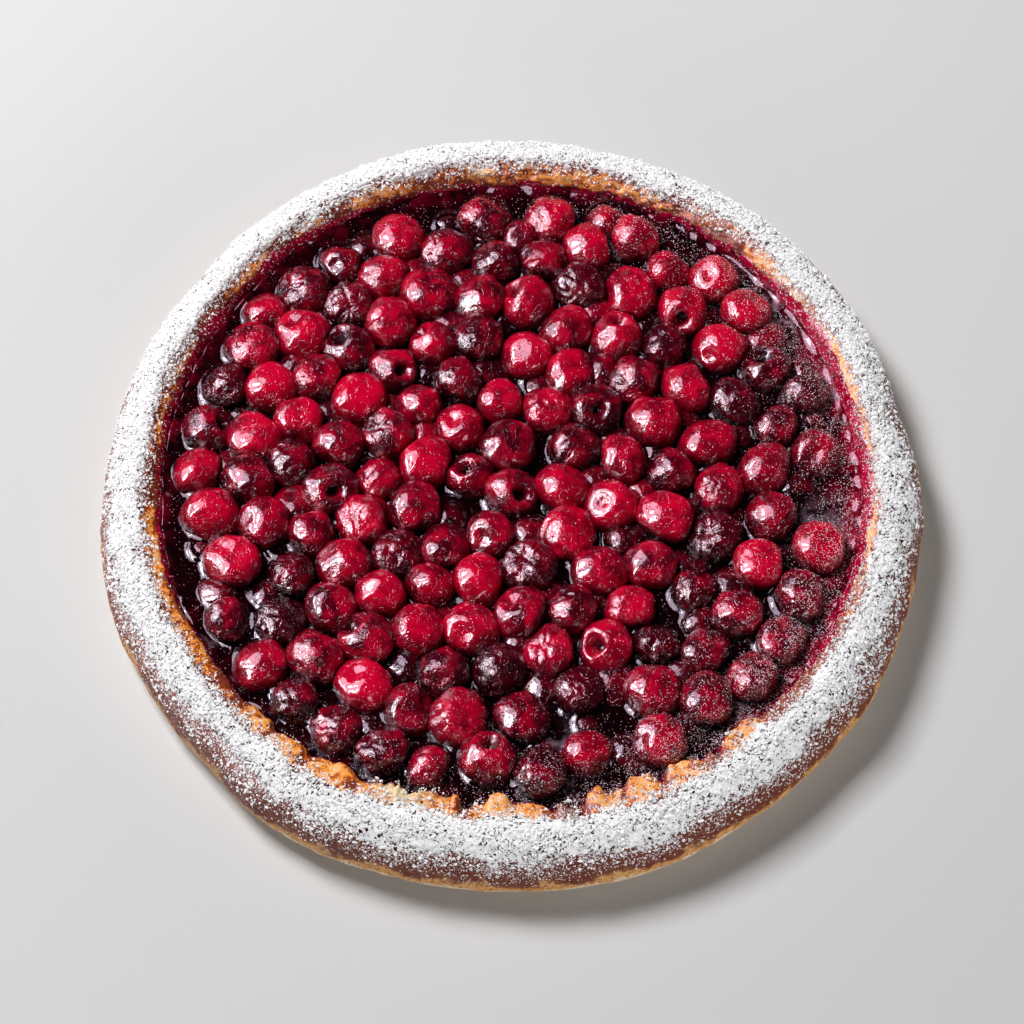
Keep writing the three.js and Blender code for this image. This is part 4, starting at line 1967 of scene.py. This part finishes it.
@dataclass
class FruitDust:
    """Stray grains of powder on the cherries and on the jelly."""

    carriers: list[bpy.types.Object]
    finish: IcingSugar
    count: int = 8000
    tries: int = 30  # draws for each grain
    reach: float = 107.5
    sizes: Pair = (0.08, 0.2)
    raised: float = 0.3  # share of its radius by which a grain's middle lies over what carries it
    drop_z: float = 60.0
    place_seed: int = 17
    turn_seed: int = 18

    def build(self) -> bpy.types.Object:
        """Builds and dresses the grains.

        Returns:
            The piece.
        """
        depsgraph = bpy.context.evaluated_depsgraph_get()
        trees = [BVHTree.FromObject(carrier, depsgraph) for carrier in self.carriers]
        draw = np.random.default_rng(self.place_seed)
        spots = draw.uniform(-self.reach, self.reach, size=(self.count * self.tries, 2))
        inside = np.hypot(*spots.T) < self.reach
        kept = inside & (draw.random(len(spots)) < FRUIT_POWDER.at(*spots.T))
        places = []
        for x, y in spots[kept][: self.count]:
            start = Vector((x, y, self.drop_z)) * METRES
            hits = [tree.ray_cast(start, Vector((0, 0, -1)))[0] for tree in trees]
            tops = [hit.z / METRES for hit in hits if hit]
            if tops:
                places.append((x, y, max(tops)))
        sizes = draw.uniform(*self.sizes, size=len(places))
        middles = np.array(places) + np.outer(sizes, (0, 0, self.raised))
        material = self.finish.paint("icing_sugar_dust", pinholes=False)
        piece = scatter_grains("icing_sugar_dust", middles, sizes, self.turn_seed, material)
        return place(piece, "icing_sugar")


# ---------------------------------------------------------------- studio


@dataclass(frozen=True)
class SoftLight:
    """A soft light that faces the pie: a rectangle that lights it or an ellipse that it mirrors."""

    name: str
    azimuth: float  # degrees round the pie, where it stands
    elevation: float  # degrees over the floor
    distance: float  # metres
    size: Pair  # across and up, in metres
    power: float  # watts
    mirrored: bool = False  # shows in wet surfaces, and lights nothing else
    colour: Colour = (1.0, 1.0, 1.0)

    def build(self) -> None:
        """Adds the light."""
        turn, rise = math.radians(self.azimuth), math.radians(self.elevation)
        toward = Vector((math.cos(turn) * math.cos(rise), math.sin(turn) * math.cos(rise), math.sin(rise)))
        light = bpy.data.lights.new(self.name, "AREA")
        light.shape = "ELLIPSE" if self.mirrored else "RECTANGLE"
        light.size, light.size_y = self.size
        light.energy = self.power
        light.color = self.colour
        lamp = bpy.data.objects.new(self.name, light)
        lamp.location = toward * self.distance
        lamp.rotation_mode = "QUATERNION"
        lamp.rotation_quaternion = toward.to_track_quat("Z", "Y")
        lamp.visible_glossy = self.mirrored
        lamp.visible_diffuse = not self.mirrored
        bpy.context.scene.collection.objects.link(lamp)


@dataclass
class Studio:
    """A pale floor, painted lighter towards the upper left as painted light, soft light from the upper left
    and the camera.
    """

    elevation: float = 64.0  # degrees
    distance: float = 1.193  # metres
    lens: float = 133.0  # millimetres, on a sensor of the width below
    sensor: float = 36.0
    aim: tuple[float, float, float] = (0.0002, -0.0038, 0.012)
    lights: list[SoftLight] = field(default_factory=lambda: [
        SoftLight("key", 139, 55, 1.9, (0.6, 0.6), 34.2),
        SoftLight("ceiling", 0, 85, 1.4, (1.2, 1.2), 0.7),
        SoftLight("front", -78, 12, 1.3, (1.2, 0.45), 6.4),
        SoftLight("side", -8, 12, 1.3, (1.1, 0.4), 4.6),
        SoftLight("bank", 172, 39, 1.2, (1.45, 1.7), 36.0, mirrored=True, colour=(1.0, 0.82, 1.0)),
        SoftLight("left strip", 203, 34, 1.0, (0.18, 0.95), 6.2, mirrored=True),
        SoftLight("low strip", 172, 10, 1.0, (0.85, 0.15), 4.4, mirrored=True),
        SoftLight("glint", 170, 41, 1.0, (0.26, 0.32), 4.3, mirrored=True),
        SoftLight("card", -66, 16, 1.1, (0.3, 0.2), 0.6, mirrored=True),
    ])
    surroundings: float = 0.015
    sky: Colour = (0.97, 0.98, 1.0)
    floor_size: float = 3000.0  # half its side, in millimetres
    floor_span: Pair = (-0.45, 0.45)  # painted light on the floor grows between these, in metres from the lower right to the upper left
    floor_painted_shade: Colour = (0.585, 0.585, 0.59)
    floor_painted_light: Colour = (0.685, 0.685, 0.69)

    def floor(self) -> None:
        """Adds the floor, with painted light that makes it lighter towards the upper left."""
        bm = bmesh.new()
        bmesh.ops.create_grid(bm, x_segments=2, y_segments=2, size=self.floor_size)
        paint = Paint("pale_floor")
        axes = paint.node("SeparateXYZ", {0: paint.place})
        painted_light_slant = paint.math("SUBTRACT", axes.outputs["Y"], axes.outputs["X"])
        colour = paint.mix(paint.span(painted_light_slant, *self.floor_span), self.floor_painted_shade, self.floor_painted_light)
        material = paint.shade(Base_Color=colour, Roughness=1.0, Specular_IOR_Level=0.0)
        finish_piece(to_mesh(bm, "floor"), material)

    def camera(self) -> None:
        """Adds the camera."""
        data = bpy.data.cameras.new("camera")
        data.lens = self.lens
        data.sensor_width = self.sensor
        camera = bpy.data.objects.new("camera", data)
        rise = math.radians(self.elevation)
        back = Vector((0, -math.cos(rise), math.sin(rise)))
        camera.location = Vector(self.aim) + back * self.distance
        camera.rotation_mode = "QUATERNION"
        camera.rotation_quaternion = back.to_track_quat("Z", "Y")
        bpy.context.scene.collection.objects.link(camera)
        bpy.context.scene.camera = camera

    def world(self) -> None:
        """Adds the surroundings: a dim, even room."""
        world = bpy.data.worlds.new("studio")
        world.use_nodes = True
        backdrop = next(n for n in world.node_tree.nodes if n.type == "BACKGROUND")
        backdrop.inputs["Color"].default_value = (*self.sky, 1)
        backdrop.inputs["Strength"].default_value = self.surroundings
        bpy.context.scene.world = world

    def build(self) -> None:
        """Builds the whole studio."""
        bpy.context.scene.view_settings.view_transform = "Standard"
        bpy.context.scene.view_settings.look = "Medium High Contrast"
        self.world()
        self.floor()
        for light in self.lights:
            light.build()
        self.camera()


def main() -> None:
    """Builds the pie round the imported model."""
    logging.basicConfig(level=logging.INFO, format="%(message)s")
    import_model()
    form = PieForm()
    hand = HandForm(form)
    sugar = IcingSugar()
    crust = Crust(hand, BakedCrust())
    crust.build()
    coat = SugarCoat(crust, sugar)
    coat.build()
    RimGrains(crust, coat, sugar).build()
    cherries = Nestler(form).nestle(HeapRule(form).settle())
    LOG.info("%d cherries, %d of them low", len(cherries), sum(cherry.low for cherry in cherries))
    fruit = CherryHeap(cherries).build()
    jelly = JellyPool(hand, cherries, CherryJelly()).build()
    FruitDust([*fruit, jelly], sugar).build()
    Studio().build()


if __name__ == "__main__":
    main()
